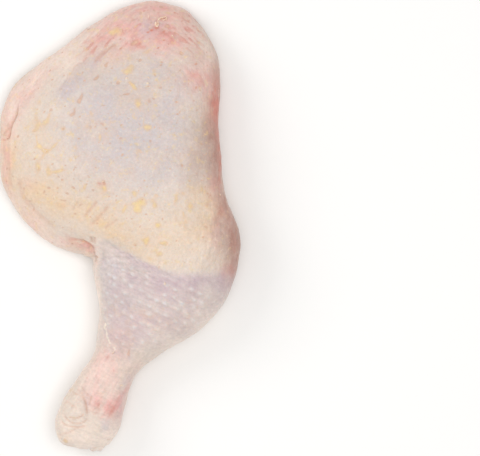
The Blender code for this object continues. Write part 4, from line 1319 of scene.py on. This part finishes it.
    folds: Strokes = (
        (((-52.2, 62), (-53.2, 56.4), (-54.9, 52.6), (-55.9, 49.3), (-56.7, 45.4), (-59.3, 43.1)),
         0.76, 1.3),
        (((-56.5, 50.3), (-58.3, 47.7), (-60.1, 45.7)), 0.46, 0.5),
        (((-1.2, 93.1), (-6.3, 90.5), (-11.4, 86.2), (-13.5, 82.9)), 1.63, 0.5),
        (((-16.4, 88.7), (-18.9, 83.6), (-22.3, 81.8), (-25.3, 77.6), (-28.6, 72.1), (-33.3, 67.6)),
         0.56, 0.22),
        (((-11.4, 12.8), (-14.7, 9.1), (-17.2, 5.8), (-18.6, 3.6)), 1.17, 0.6),
        (((-5.7, 10.5), (-8.7, 6.7), (-13.8, 1.2), (-14.5, -0.7)), 1.17, 0.55),
        (((-1.2, 3.6), (-4.9, 0.7), (-8.4, -1.7)), 1.12, 0.4),
        (((-21.5, 12.7), (-23.1, 10.3), (-24.4, 8.2)), 0.56, 0.35),
        (((-20.1, 11.8), (-22.1, 8.5)), 0.46, 0.25),
        (((-51.7, 26.3), (-50.1, 17.1), (-45.6, 10), (-38.4, 2.9), (-31.8, -1.7)), 2.29, 0.3),
        (((-56.5, 30.9), (-56, 24.3), (-54.7, 18.2)), 1.12, 0.3),
        (((-46.1, 11.5), (-44.5, 9.2), (-45.3, 7)), 0.82, 0.4),
        (((-15.1, -5.5), (-14.6, -6.8), (-14.8, -8.8)), 0.46, 0.7),
        (((-12.9, -5.3), (-13.1, -7.3), (-13.1, -9.1)), 0.46, 0.5),
        (((-20.3, -6.4), (-17.5, -8.3), (-14.3, -11.3), (-13.9, -13.4)), 0.51, 0.35),
        (((-19.6, -7.4), (-17, -8.8), (-14.5, -11.6)), 0.41, 0.2),
        (((-13.7, -10.4), (-13.7, -13.2), (-13.4, -16.2), (-12.7, -18.5)), 0.71, 0.5),
        (((-25.7, -83.7), (-22.9, -85.1), (-19.8, -86.6)), 0.46, 0.3),
        (((-20.3, -85.3), (-18.2, -88.6), (-17.4, -91.4), (-16.8, -95.2)), 0.66, 0.55),
        (((-15.5, -85.8), (-15.2, -87.8), (-16.1, -90.9)), 0.76, 0.4),
        (((-12.4, -84.5), (-8.9, -85), (-7.1, -83.2)), 0.51, 0.3),
        (((-14.5, -94), (-11.9, -91.7), (-9.9, -89.6)), 0.46, 0.35),
        (((-13.7, -91.1), (-11.2, -88.9), (-8.4, -85.8)), 0.46, 0.25),
        (((-14, -96), (-11.7, -94.2)), 0.41, 0.25),
        (((-29, -88.8), (-26.2, -89.9), (-23.5, -91.4), (-22, -93.6)), 0.51, 0.25),
        (((-27.3, -96.5), (-24.2, -97.4), (-21.1, -96.8), (-18, -94.9)), 0.56, 0.5),
        (((-29.8, -95.7), (-28.1, -97.2), (-25.7, -99.4), (-22.4, -100.2), (-18.9, -99.4), (-16.2, -97.2)),
         0.56, 0.45),
        (((-31.2, -98), (-29, -100.5), (-26.1, -101.8), (-21.1, -102), (-16.7, -101.1)), 0.56, 0.45),
        (((-31.8, -106.2), (-26.4, -104.9), (-22.8, -102.9), (-19.6, -102)), 0.56, 0.35),
        (((-7.4, -108.8), (-5.3, -108.5), (-3.4, -107.7)), 0.51, 0.3),
        (((-14, -113.8), (-11.4, -113.3), (-7.8, -113)), 0.46, 0.4),
        (((-20.4, -81.7), (-18, -84.3), (-16, -86.3)), 0.41, 0.25),
        (((-22.6, -82.5), (-20.6, -84.5), (-18.6, -86.8)), 0.41, 0.25),
    )
    # Where the lavender skin ends sharply at its upper left, and where bloodied streaks mark the skin.
    thin_edge: Places = (
        (-33.3, 67.6), (-28.6, 72.1), (-25.3, 77.6), (-22.3, 81.8), (-18.9, 83.6), (-14, 86.5),
    )
    bloody: Places = (
        (-12, 92.5, 13, 7, 40, 0.7), (-25, 90, 16, 5, 38, 0.25), (18, 104, 17, 8, 0, 0.6),
        (34, 98, 12, 8, -45, 0.7), (-56, 55, 4, 16, 0, 0.3), (-44, 72, 14, 4, 45, 0.15),
        (10, 94, 22, 6, 0, 0.5), (-20, -10, 9, 3, -25, 0.8), (-6, -90, 8, 8, 0, 0.5),
        (40, 72, 5, 9, 0, 0.4),
    )
    # The left rim's pink lip laps over the skin beside it.
    lip: Places = ((-60.5, 42.6), (-56.7, 45.4), (-55.9, 49.3), (-54.9, 52.6), (-53.2, 56.4), (-52.2, 62))
    # Direction of the skin's grain at places on the leg: (x, y, degrees).
    grain: Places = (
        (-57, 40, 90), (-52, 68, 62), (-30, 85, 42), (-10, 98, 52), (15, 108, 15), (38, 98, -42),
        (48, 60, -85), (48, 20, 85), (5, 62, 25), (10, 35, -20), (-25, 48, 55), (-38, 22, -15),
        (-45, 3, -52), (-15, 5, 55), (8, -5, 60), (25, -15, 62), (42, -15, 76), (-5, -30, -20),
        (20, -37, -25), (42, -45, -32), (0, -60, -40), (-10, -75, 62), (-25, -98, 60), (58, -8, 82),
        (-22, -10, -30),
    )
    grain_reach: float = 17.0

    def torn_marks(self) -> Places:
        """The torn marks and the specks, all as rows for patches."""
        oval = (*self.speck_oval, 0.0)
        specks = ((*place, *oval, strength) for strength, places in self.specks for place in places)
        return (*self.tears, *specks)

    def grain_angle(self, x: np.ndarray, y: np.ndarray) -> np.ndarray:
        """Direction of the grain: the nearby knots' directions, averaged as doubled angles."""
        cosine, sine = np.zeros_like(x), np.full_like(x, 1e-9)
        for px, py, degrees in self.grain:
            weight = np.exp(-((x - px) ** 2 + (y - py) ** 2) / self.grain_reach**2)
            cosine += weight * math.cos(2.0 * math.radians(degrees))
            sine += weight * math.sin(2.0 * math.radians(degrees))
        return 0.5 * np.arctan2(sine, cosine)


@dataclass(frozen=True)
class SkinZones:
    """Bands over which the skin's zones begin or end: in millimetres, or as shares of a slope."""

    corner_across: Band = (-17.0, -13.0)
    corner_along: Band = (-18.0, -14.0)
    # Where the right flank, facing away from the light, gets painted shade.
    flank_side: Band = (0.55, 0.95)
    flank_foot: Band = (-42.0, -8.0)
    flank_head: Band = (80.0, 104.0)
    flank_rise: Band = (-0.1, 0.35)
    # Where steep sides get painted light.
    steep: Band = (0.3, 0.95)
    calf_across: Band = (25.0, 40.0)
    calf_along: Band = (-40.0, -28.0)
    left_rim_across: Band = (-57.0, -50.0)
    left_rim_along: Band = (-2.0, 12.0)
    right_rim: Band = (34.0, 46.0)
    brow: Band = (80.0, 92.0)
    brow_across: Band = (8.0, 22.0)
    shank: Band = (-66.0, -58.0)
    knob: Band = (-100.0, -88.0)
    smooth: Band = (-72.0, -58.0)


@dataclass
class Skin:
    """The skin over the whole leg: one closed surface with all its relief and its masks."""

    form: LegForm
    paint: SkinPaint = field(default_factory=SkinPaint)
    zones: SkinZones = field(default_factory=SkinZones)
    rings: int = 410
    top_places: int = 218
    under_places: int = 24
    meat_recess: float = 4.2

    bump_spacing: float = 5.2
    bump_radius: float = 1.55
    bump_row_turn: float = -27.0
    # Heights and depths of the relief, and the least width of the painted shade drawn along a fold.
    bump_height: float = 0.72
    faint_bump_height: float = 0.12
    lump_height: float = 0.24
    grain_height: float = 0.17
    film_height: float = 0.12
    pale_height: float = 0.2
    tear_depth: float = 0.26
    lip_height: float = 0.7
    fold_shade_width: float = 0.42

    def bump_zone(self, x: np.ndarray, y: np.ndarray) -> np.ndarray:
        """Where goose bumps stand: over the drumstick, less so to the right and the shank."""
        drum = 1.0 - ease(y + 0.36 * (np.minimum(x, 32.0) - 10.0), -27.0, -19.0)
        shank = ease(y - 0.35 * x, -72.0, -56.0)
        right = 1.0 - 0.55 * ease(x, 34.0, 48.0)
        left = ease(x, -12.0, -4.0)
        return drum * shank * right * left

    def knee_side(self, x: np.ndarray, y: np.ndarray) -> np.ndarray:
        """1 on the drumstick's side of the knee line, 0 on the thigh's, with a ragged edge."""
        line = ((-14.0, -14.0), *self.form.knee_line, (64.0, -21.0))
        offset, _ = path_offset(x, y, line)
        ragged = offset + 0.4 + 0.8 * noise(x, y, 2.5, 61) + 0.7 * noise(x, y, 7.0, 62, 1)
        blur = 1.0 + 1.6 * ease(x, 20.0, 45.0) + 3.0 * ease(x, 50.0, 61.0)
        return ease(ragged / blur, -1.9, 0.8)

    def relief(self, grid: Surface, painted: Masks) -> tuple[np.ndarray, Masks]:
        """The skin's relief, and the masks that go with it.

        Args:
            grid: the bare leg.
            painted: the masks that are painted from above.

        Returns:
            Heights in millimetres, and masks by name.
        """
        x, y, q, upward = grid.flat()
        zone = self.bump_zone(x, y)
        turn = self.bump_row_turn
        bumps = dots(q, y, self.bump_spacing, self.bump_radius, 11, turn, 0.22, 0.95, 0.66)
        faint = dots(q, y, self.bump_spacing, 1.3, 71, 30.0, 0.4, 0.8)
        rows = streaks(q, y, np.full_like(x, math.radians(turn)), 2.4, 13)
        grain = streaks(q, y, self.paint.grain_angle(x, y), 1.7, 5)
        height = self.form.broad_relief(x, y) + self.lump_height * noise(q, y, 7.0, 3, 3)
        height += self.bump_height * (bumps - 0.35 + 0.2 * rows) * zone
        height += self.faint_bump_height * faint * (1.0 - zone)
        height += self.grain_height * grain * (1.0 - 0.6 * zone) * (1.0 + 0.7 * painted["pink"])
        height += self.film_height * painted["film"] + self.pale_height * painted["pale"]
        height += self.lip_height * step_down(x, y, self.paint.lip, 0.5, 5.0)
        height -= self.tear_depth * painted["tear"]
        # Painted shade: each fold is darkened along its groove in the line mask, the more the deeper it
        # is.
        line = np.zeros_like(x)
        for path, width, depth in self.paint.folds:
            height -= depth * crease(x, y, path, width)
            drawn = crease(x, y, path, max(self.fold_shade_width, 0.5 * width))
            line = np.maximum(line, min(0.85, 1.1 * depth) * drawn)
        shown = zone * upward
        masks = {
            # The tops of the goose bumps are painted paler, partly stretched skin and partly painted
            # highlight; the furrows between them are mauve, partly the skin's tone and partly painted
            # shade.
            "bump": 0.65 * np.clip(1.5 * bumps - 0.45, 0.0, 1.0) * shown,
            "furrow_tone_and_shade": np.clip(0.7 - 1.2 * bumps - 0.5 * rows, 0.0, 1.0) * shown,
            "bumpy": shown * ease(-y, 26.0, 42.0),
            "line": line * upward,
            "grain": grain,
        }
        return height, masks

    def painted(self, x: np.ndarray, y: np.ndarray) -> Masks:
        """The broad tones and the small marks, painted from above with ragged edges.

        Args:
            x: places across, flat.
            y: places along, flat.

        Returns:
            Masks by name.
        """
        wide_x, wide_y = (
            place + 2.2 * noise(x, y, 13.0, seed) + 0.8 * noise(x, y, 3.0, seed + 3, 2)
            for place, seed in ((x, 21), (y, 22))
        )
        near_x, near_y = (place + 0.9 * noise(x, y, 2.6, seed, 2) for place, seed in ((x, 26), (y, 27)))
        paint = self.paint
        tones = ("thin", "mauve", "pink", "fat", "shade", "waxy")
        masks = {name: patches(wide_x, wide_y, getattr(paint, name)) for name in tones}
        outside = step_down(near_x, near_y, paint.thin_edge, 0.8, 9.0)
        inside = step_down(near_x, near_y, paint.thin_edge, 0.9, 7.0)
        masks["thin"] = np.clip(masks["thin"] + 0.45 * inside, 0.0, 1.0)
        masks["pink"] *= 1.0 - 0.65 * outside
        threads = streaks(x, y, paint.grain_angle(x, y), 1.5, 55)
        bloody = 0.7 * patches(x, y, paint.bloody) * ease(threads, 0.16, 0.44)
        masks["blood"] = 1.0 - (1.0 - patches(near_x, near_y, paint.blood)) * (1.0 - bloody)
        masks["film"] = marked(near_x, near_y, paint.film, paint.film_strokes)
        masks["pale"] = marked(near_x, near_y, paint.pale, paint.pale_strokes)
        masks["tear"] = patches(near_x, near_y, paint.torn_marks())
        return masks

    def masks(self, grid: Surface, painted: Masks, fine: Masks) -> Masks:
        """All that the skin's material reads.

        Args:
            grid: the bare leg.
            painted: the masks that are painted from above.
            fine: the masks that go with the relief.

        Returns:
            Masks by name.
        """
        x, y, _, upward = grid.flat()
        side, rise = grid.normal[..., 0].ravel(), grid.normal[..., 2].ravel()
        zones = self.zones
        corner = np.maximum(ease(x, *zones.corner_across), 1.0 - ease(y, *zones.corner_along))
        drum = self.knee_side(x, y) * corner
        thigh = 1.0 - drum
        # Painted shade: the thigh's right-facing flank, which the light leaves dark, is darkened in the
        # shade and brick-red masks.
        flank = ease(side, *zones.flank_side) * ease(y, *zones.flank_foot)
        flank *= 1.0 - ease(y, *zones.flank_head)
        flank *= 0.3 + 0.7 * ease(rise, *zones.flank_rise)
        # Painted light: steep sides away from the calf are lightened where the light falls off.
        steep = ease(1.0 - rise, *zones.steep)
        away = 1.0 - np.minimum(ease(x, *zones.calf_across), ease(y, *zones.calf_along))
        left_rim = (1.0 - ease(x, *zones.left_rim_across)) * ease(y, *zones.left_rim_along)
        outer = np.clip(ease(x, *zones.right_rim) + left_rim, 0.0, 1.0)
        inner = 1.0 - outer
        brow = ease(y + 0.8 * (x - 8.0), *zones.brow) * ease(x, *zones.brow_across)
        shank = (1.0 - ease(y, *zones.shank)) * upward
        knob = 1.0 - ease(y, *zones.knob)
        smooth = 1.0 - ease(y, *zones.smooth)
        upper_drum = np.exp(-(((x - 10.0) / 17.0) ** 2) - ((y + 20.0) / 8.0) ** 2)
        masks = {name: painted[name] * upward for name in ("film", "tear", "pale")}
        masks |= {name: fine[name] for name in ("bump", "bumpy", "line")}
        return masks | {
            "fat": painted["fat"] * (1.0 - drum * ease(x, -11.0, -5.0) * ease(y, -66.0, -56.0)),
            "waxy": painted["waxy"] + 0.5 * steep * away,
            "thin": np.maximum(painted["thin"], 0.35 * drum * ease(y, -70.0, -55.0)),
            "pink": painted["pink"] * (1.0 + 0.5 * fine["grain"]),
            # Mauve also carries painted shade: in the furrows between goose bumps and on the drumstick's
            # right-facing side.
            "mauve": painted["mauve"] * np.maximum(drum, y > 30.0)
            + 0.6 * fine["furrow_tone_and_shade"]
            + 0.3 * drum * ease(side, 0.3, 0.9),
            "shade": painted["shade"] + 0.8 * flank,
            "blood": painted["blood"] + 0.2 * flank,
            "smooth": smooth,
            "pored": (1.0 - drum * upward) * (1.0 - 0.8 * flank) * (1.0 - 0.6 * smooth),
            "veiled": thigh * upward * painted["thin"],
            "rim": (0.45 * ease(painted["pink"], 0.1, 0.6) + 0.2) * thigh * inner * (1.0 - brow),
            "brow": 0.4 * brow * inner,
            "edge": 0.75 * outer * thigh,
            "hem": 0.6 * thigh * bell(y + 16.0, 13.0) * ease(x, 5.0, 22.0),
            "shank": 0.55 * shank * (1.0 - knob),
            "knob": 0.65 * shank * knob,
            "drum": drum * upward * (0.7 + upper_drum),
        }

    def build(self) -> Surface:
        """Makes the skin.

        Returns:
            The skin's surface, for the pieces that lie on it.
        """
        grid = self.form.loft(self.rings, self.top_places, self.under_places, self.meat_recess)
        x, y, _, upward = grid.flat()
        painted = self.painted(x, y)
        height, fine = self.relief(grid, painted)
        masks = self.masks(grid, painted, fine)
        low_shank = 0.6 * ease(grid.points[..., 2].ravel(), 2.0, 6.0) * (y < -30.0)
        raised = (height * np.maximum(upward, low_shank)).reshape(grid.upward.shape)
        grid.points = grid.points + grid.normal * raised[..., None]
        grid.points[..., 2] = np.maximum(grid.points[..., 2], 0.0)
        grid.normal = grid_normals(grid.points)
        self.form.centre_on_frame(grid.points)
        add_piece("leg_skin", self.form, [(grid.points, grid.poles)], RawSkin().build(), "skin", masks)
        return grid


# ---------------------------------------------------------------------------------------------
# Meat, joint end and torn bits
# ---------------------------------------------------------------------------------------------


@dataclass
class Underside:
    """The meat that shows beneath the thigh where the skin ends, with fat along its seams."""

    form: LegForm
    stations: Band = (1.9, 15.6)
    reach: float = 0.80
    thickness: float = 4.5
    tuck: float = 4.6
    # Least height over the surface that the leg lies on.
    clearance: float = 0.03
    # How far up from the rim to the leg's top the meat's hidden face may reach, and how many
    # of the shown face's points it has one for.
    cover: float = 0.45
    hidden_step: int = 6
    rings: int = 260
    places: int = 170
    # Direction of the fibres in each muscle, in degrees, from the left to the right.
    fibres: tuple[float, ...] = (62.0, 96.0, 74.0)
    fat_depth: float = 1.6

    def fibre_lines(self, x: np.ndarray, y: np.ndarray, across: np.ndarray) -> np.ndarray:
        """Streaks of muscle fibre, each muscle with its own direction."""
        first, second = self.form.seam_across
        muscle = (across > first).astype(int) + (across > second).astype(int)
        angle = np.radians(np.array(self.fibres))[muscle] + 0.25 * noise(x, y, 24.0, 34, 1)
        return streaks(x, y, angle, 1.5, 33)

    def fat_cover(self, x: np.ndarray, y: np.ndarray, seams: np.ndarray) -> np.ndarray:
        """Where fat lies: along the seams, thick and thin by turns, and in a few islands."""
        ragged = 0.25 * noise(x, y, 3.0, 36) + 0.4 * noise(x, y, 16.0, 37, 2) - 0.1
        islands = ease(noise(x, y, 15.0, 38, 4), 0.42, 0.56)
        return np.maximum(ease(seams + ragged, 0.3, 1.05), 0.85 * islands)

    def build(self) -> None:
        """The pad of meat: its lower face shows, its upper one lies inside the leg."""
        form = self.form
        across = np.linspace(-self.reach, self.reach, self.places)
        wide, far = np.meshgrid(across, form.stations(self.rings, *self.stations))
        low = form.place(far, wide, form.under_meat(far, wide))
        x, y = low[..., 0], low[..., 1]
        fibre = self.fibre_lines(x, y, wide)
        fat = self.fat_cover(x, y, form.seams(far, wide))
        thick = self.fat_depth * fat * (0.6 + 0.6 * noise(x, y, 5.0, 39, 2))
        rough = 0.3 + 0.5 * noise(x, y, 9.0, 31) + 0.25 * fibre - thick
        inside = form.inside_skin(far, wide)
        tucked = self.tuck * (1.0 - ease(inside, -0.04, 0.06))
        low[..., 2] = np.maximum(low[..., 2] + rough, self.clearance) + tucked
        rim = form.rim(far, wide)
        roof = rim + self.cover * (form.top(far, wide) - rim) * form.ends_close(far)
        over = np.minimum(low[..., 2].max() + self.thickness, np.maximum(roof, low[..., 2]))
        high = np.dstack([x, y, over])[:, :: self.hidden_step]
        ring = np.concatenate([high, low[:, ::-1]], axis=1)
        frayed = 0.08 * noise(x, y, 3.0, 36)
        fat = np.clip(np.maximum(fat, 1.0 - ease(inside + frayed, 0.0, 0.09)), 0.0, 0.92)
        hidden = np.zeros(high.shape[:2])
        masks = {
            name: np.concatenate([hidden, values[:, ::-1]], axis=1)
            for name, values in (("fat", fat), ("fibre", 0.5 + 0.5 * fibre))
        }
        tube = (ring, ring[[0, -1]].mean(axis=1))
        add_piece("thigh_meat", form, [tube], RawMeat().build(), "meat", masks)


@dataclass
class HockEnd:
    """The pale cartilage of the joint where the foot was cut off, proud of the skin's end."""

    form: LegForm
    middle: tuple[float, float, float] = (-12.6, -110.9, 12.6)
    radii: tuple[float, float, float] = (4.6, 4.1, 6.4)
    unevenness: float = 0.06
    groove_half_width: float = 1.3
    groove_depth: float = 0.9
    rings: int = 44
    places: int = 60

    def build(self) -> None:
        """An uneven ellipsoid with a groove down its face.

        It is the unit sphere times (1 + noise) times the radii, and its y is then drawn in by a
        bell of x.
        """
        down = (np.arange(self.rings) + 1.0)[:, None] * math.pi / (self.rings + 1.0)
        round_it = np.arange(self.places)[None, :] * 2.0 * math.pi / self.places
        along = np.cos(down) + 0.0 * round_it
        side, up = np.sin(down) * np.cos(round_it), np.sin(down) * np.sin(round_it)
        lumps = self.unevenness * noise(3.0 * along + 7.0 * up, 3.0 * side + 5.0 * up, 1.6, 51)
        radii, middle = np.array(self.radii), np.array(self.middle)
        cap = np.dstack([along, side, up]) * (1.0 + lumps)[..., None] * radii
        face = ease(-cap[..., 1], 1.0, radii[1])
        cap[..., 1] += face * (self.groove_depth * bell(cap[..., 0], self.groove_half_width) - 0.5)
        cap[..., 1] = np.maximum(cap[..., 1], -radii[1] + 0.15 * np.abs(cap[..., 2]) ** 0.5)
        poles = np.array([[1.0, 0.0, 0.0], [-1.0, 0.0, 0.0]]) * radii
        tissue = PaleTissue("hock_cartilage", Tone.CARTILAGE, Tone.CARTILAGE_DEEP, 3.5, 0.32, 0.35)
        tube = (cap + middle, poles + middle)
        add_piece("hock_cartilage", self.form, [tube], tissue.build(), "skin")


@dataclass
class TornBits:
    """Torn slivers of skin and cuticle that stand up from the surface, most of them at the hip."""

    form: LegForm
    surface: Surface
    steps: int = 14
    # Path, half width, half thickness, and how far the sliver rises to its free end.
    slivers: tuple[tuple[Places, float, float, float], ...] = (
        (((18.6, 101.2), (18, 102.2), (17.8, 103.4)), 0.76, 0.45, 1.3),
        (((19, 101.7), (19, 102.8), (18.8, 103.8)), 0.46, 0.35, 1.1),
        (((18.8, 104.3), (19.7, 105.3), (20.9, 105.9), (22.2, 106.2), (23.2, 106.6)), 0.41, 0.28, 0.9),
        (((21.1, 104.5), (22, 104.7), (23, 105.3)), 0.31, 0.25, 0.6),
        (((23.1, 104.6), (23.3, 105.6), (22.9, 106.4)), 0.28, 0.22, 0.5),
        (((26, 97), (26.4, 96.4), (26.9, 95.6)), 0.28, 0.25, 0.6),
        (((-0.1, 100.7), (0.4, 99.8), (0.5, 98.7)), 0.28, 0.22, 0.6),
        (((-42.5, 30.2), (-42.1, 29.4), (-41.6, 28.2)), 0.25, 0.2, 0.5),
        (((-34.2, 15.6), (-33.7, 14.8), (-33.1, 14.1)), 0.25, 0.2, 0.5),
        (((13.3, 71.9), (13.9, 72.2), (14.4, 72.1)), 0.41, 0.25, 0.4),
        (((14, 75.4), (14.5, 74.9)), 0.31, 0.22, 0.3),
        (((-8.1, 4.2), (-7.6, 3.4)), 0.36, 0.22, 0.3),
        (((50.4, 16.4), (50.7, 15.3)), 0.31, 0.22, 0.3),
        (((22.6, -28.3), (22.8, -29.2), (22.7, -30)), 0.31, 0.22, 0.4),
        (((2.5, 74.5), (3.3, 75)), 0.36, 0.22, 0.3),
        (((-4.1, -64.8), (-3.2, -63.8)), 0.36, 0.25, 0.4),
        (((-23.7, 36.2), (-23, 34.8), (-22.7, 33.8)), 0.2, 0.16, 0.3),
        (((-0.3, -81.1), (1.1, -80.8)), 0.31, 0.2, 0.3),
        (((-8.9, 22.1), (-8.1, 22.7)), 0.31, 0.25, 0.4),
        (((-39.1, 38.8), (-38.2, 37.9), (-37.4, 38.4)), 0.31, 0.25, 0.4),
    )

    def build(self) -> None:
        """Each sliver is a strip along its path, thickest in the middle and bent up at its end."""
        share = np.linspace(0.0, 1.0, self.steps)
        taper = 0.25 + 0.75 * np.sin(math.pi * np.clip(0.15 + 0.75 * share, 0.0, 1.0))
        strips = []
        for path, wide, thick, lift in self.slivers:
            flat = path_curve(path, share * (len(path) - 1.0))
            height = self.surface.height_at(flat[:, 0], flat[:, 1]) + 0.4 * thick + lift * share**1.6
            strips.append(sweep(np.column_stack([flat, height]), wide * taper, thick * taper))
        tissue = PaleTissue("torn_cuticle", Tone.CUTICLE, Tone.CUTICLE_DEEP, 1.1, 0.45, 0.15)
        add_piece("torn_bits", self.form, strips, tissue.build(), "skin")


# ---------------------------------------------------------------------------------------------
# Stage
# ---------------------------------------------------------------------------------------------


@dataclass
class Studio:
    """A pale floor, soft light from the upper left and a camera looking straight down."""

    photo_width: int = 480
    photo_height: int = 456
    pixel_mm: float = 230.0 / 451.3
    box_middle_pixel: tuple[float, float] = (119.8, 226.0)
    rim_height_mm: float = 12.0
    # A long lens, so that the marks on the crown lie where the photograph shows them.
    lens: float = 400.0
    sensor: float = 36.0
    floor_reach: float = 2.0
    world_strength: float = 0.61
    # Each soft light's name, place, size and power, in metres and watts.
    lamps: tuple[tuple[str, tuple[float, float, float], float, float], ...] = (
        ("soft_box", (-0.8, 0.35, 0.75), 0.6, 3.3), ("top_box", (0.2, -0.1, 1.1), 0.8, 5.2),
    )

    def floor(self) -> None:
        """A matt white surface under the leg."""
        corners = np.array([[-1.0, -1.0, 0.0], [1.0, -1.0, 0.0], [1.0, 1.0, 0.0], [-1.0, 1.0, 0.0]])
        floor = make_mesh("floor", self.floor_reach * corners, [np.array([[0, 1, 2, 3]])])
        nodes = NodeTree("matt_white_laminate")
        cloud = nodes.add("TexNoise", {"Vector": nodes.place, "Scale": 6.0, "Detail": 2.0}, "Fac")
        rough = nodes.add("MapRange", {0: cloud, 3: 0.78, 4: 0.86})
        nodes.fill(nodes.shader, {"Base Color": Tone.FLOOR.rgba, "Roughness": rough})
        floor.data.materials.append(nodes.material)

    def light(self) -> None:
        """Even light all round, with a soft box to the upper left and one overhead."""
        world = bpy.data.worlds.new("studio")
        world.use_nodes = True
        sky = world.node_tree.nodes["Background"]
        sky.inputs["Color"].default_value = (1.0, 1.0, 1.0, 1.0)
        sky.inputs["Strength"].default_value = self.world_strength
        bpy.context.scene.world = world
        for name, place, size, power in self.lamps:
            light = bpy.data.lights.new(name, "AREA")
            light.size = size
            light.energy = power
            lamp = bpy.data.objects.new(name, light)
            lamp.location = place
            lamp.rotation_euler = (-Vector(place)).to_track_quat("-Z", "Y").to_euler()
            bpy.context.scene.collection.objects.link(lamp)
        bpy.context.scene.view_settings.view_transform = "Standard"

    def camera(self) -> None:
        """The camera looks straight down on the middle of the photograph's frame."""
        data = bpy.data.cameras.new("camera")
        data.lens = self.lens
        data.sensor_width = self.sensor
        away = self.photo_width * self.pixel_mm * self.lens / self.sensor
        x = (0.5 * self.photo_width - self.box_middle_pixel[0]) * self.pixel_mm
        y = (self.box_middle_pixel[1] - 0.5 * self.photo_height) * self.pixel_mm
        camera = bpy.data.objects.new("camera", data)
        camera.location = (x * METRES, y * METRES, (away + self.rim_height_mm) * METRES)
        bpy.context.scene.collection.objects.link(camera)
        bpy.context.scene.camera = camera

    def build(self) -> None:
        """Sets the stage."""
        self.floor()
        self.light()
        self.camera()
        log.info("stage: floor, light and camera")


def main() -> None:
    """Builds the pieces in order and reports each."""
    logging.basicConfig(level=logging.INFO, format="%(name)s: %(message)s")
    Studio().build()
    form = LegForm()
    surface = Skin(form).build()
    TornBits(form, surface).build()
    HockEnd(form).build()
    Underside(form).build()


if __name__ == "__main__":
    main()
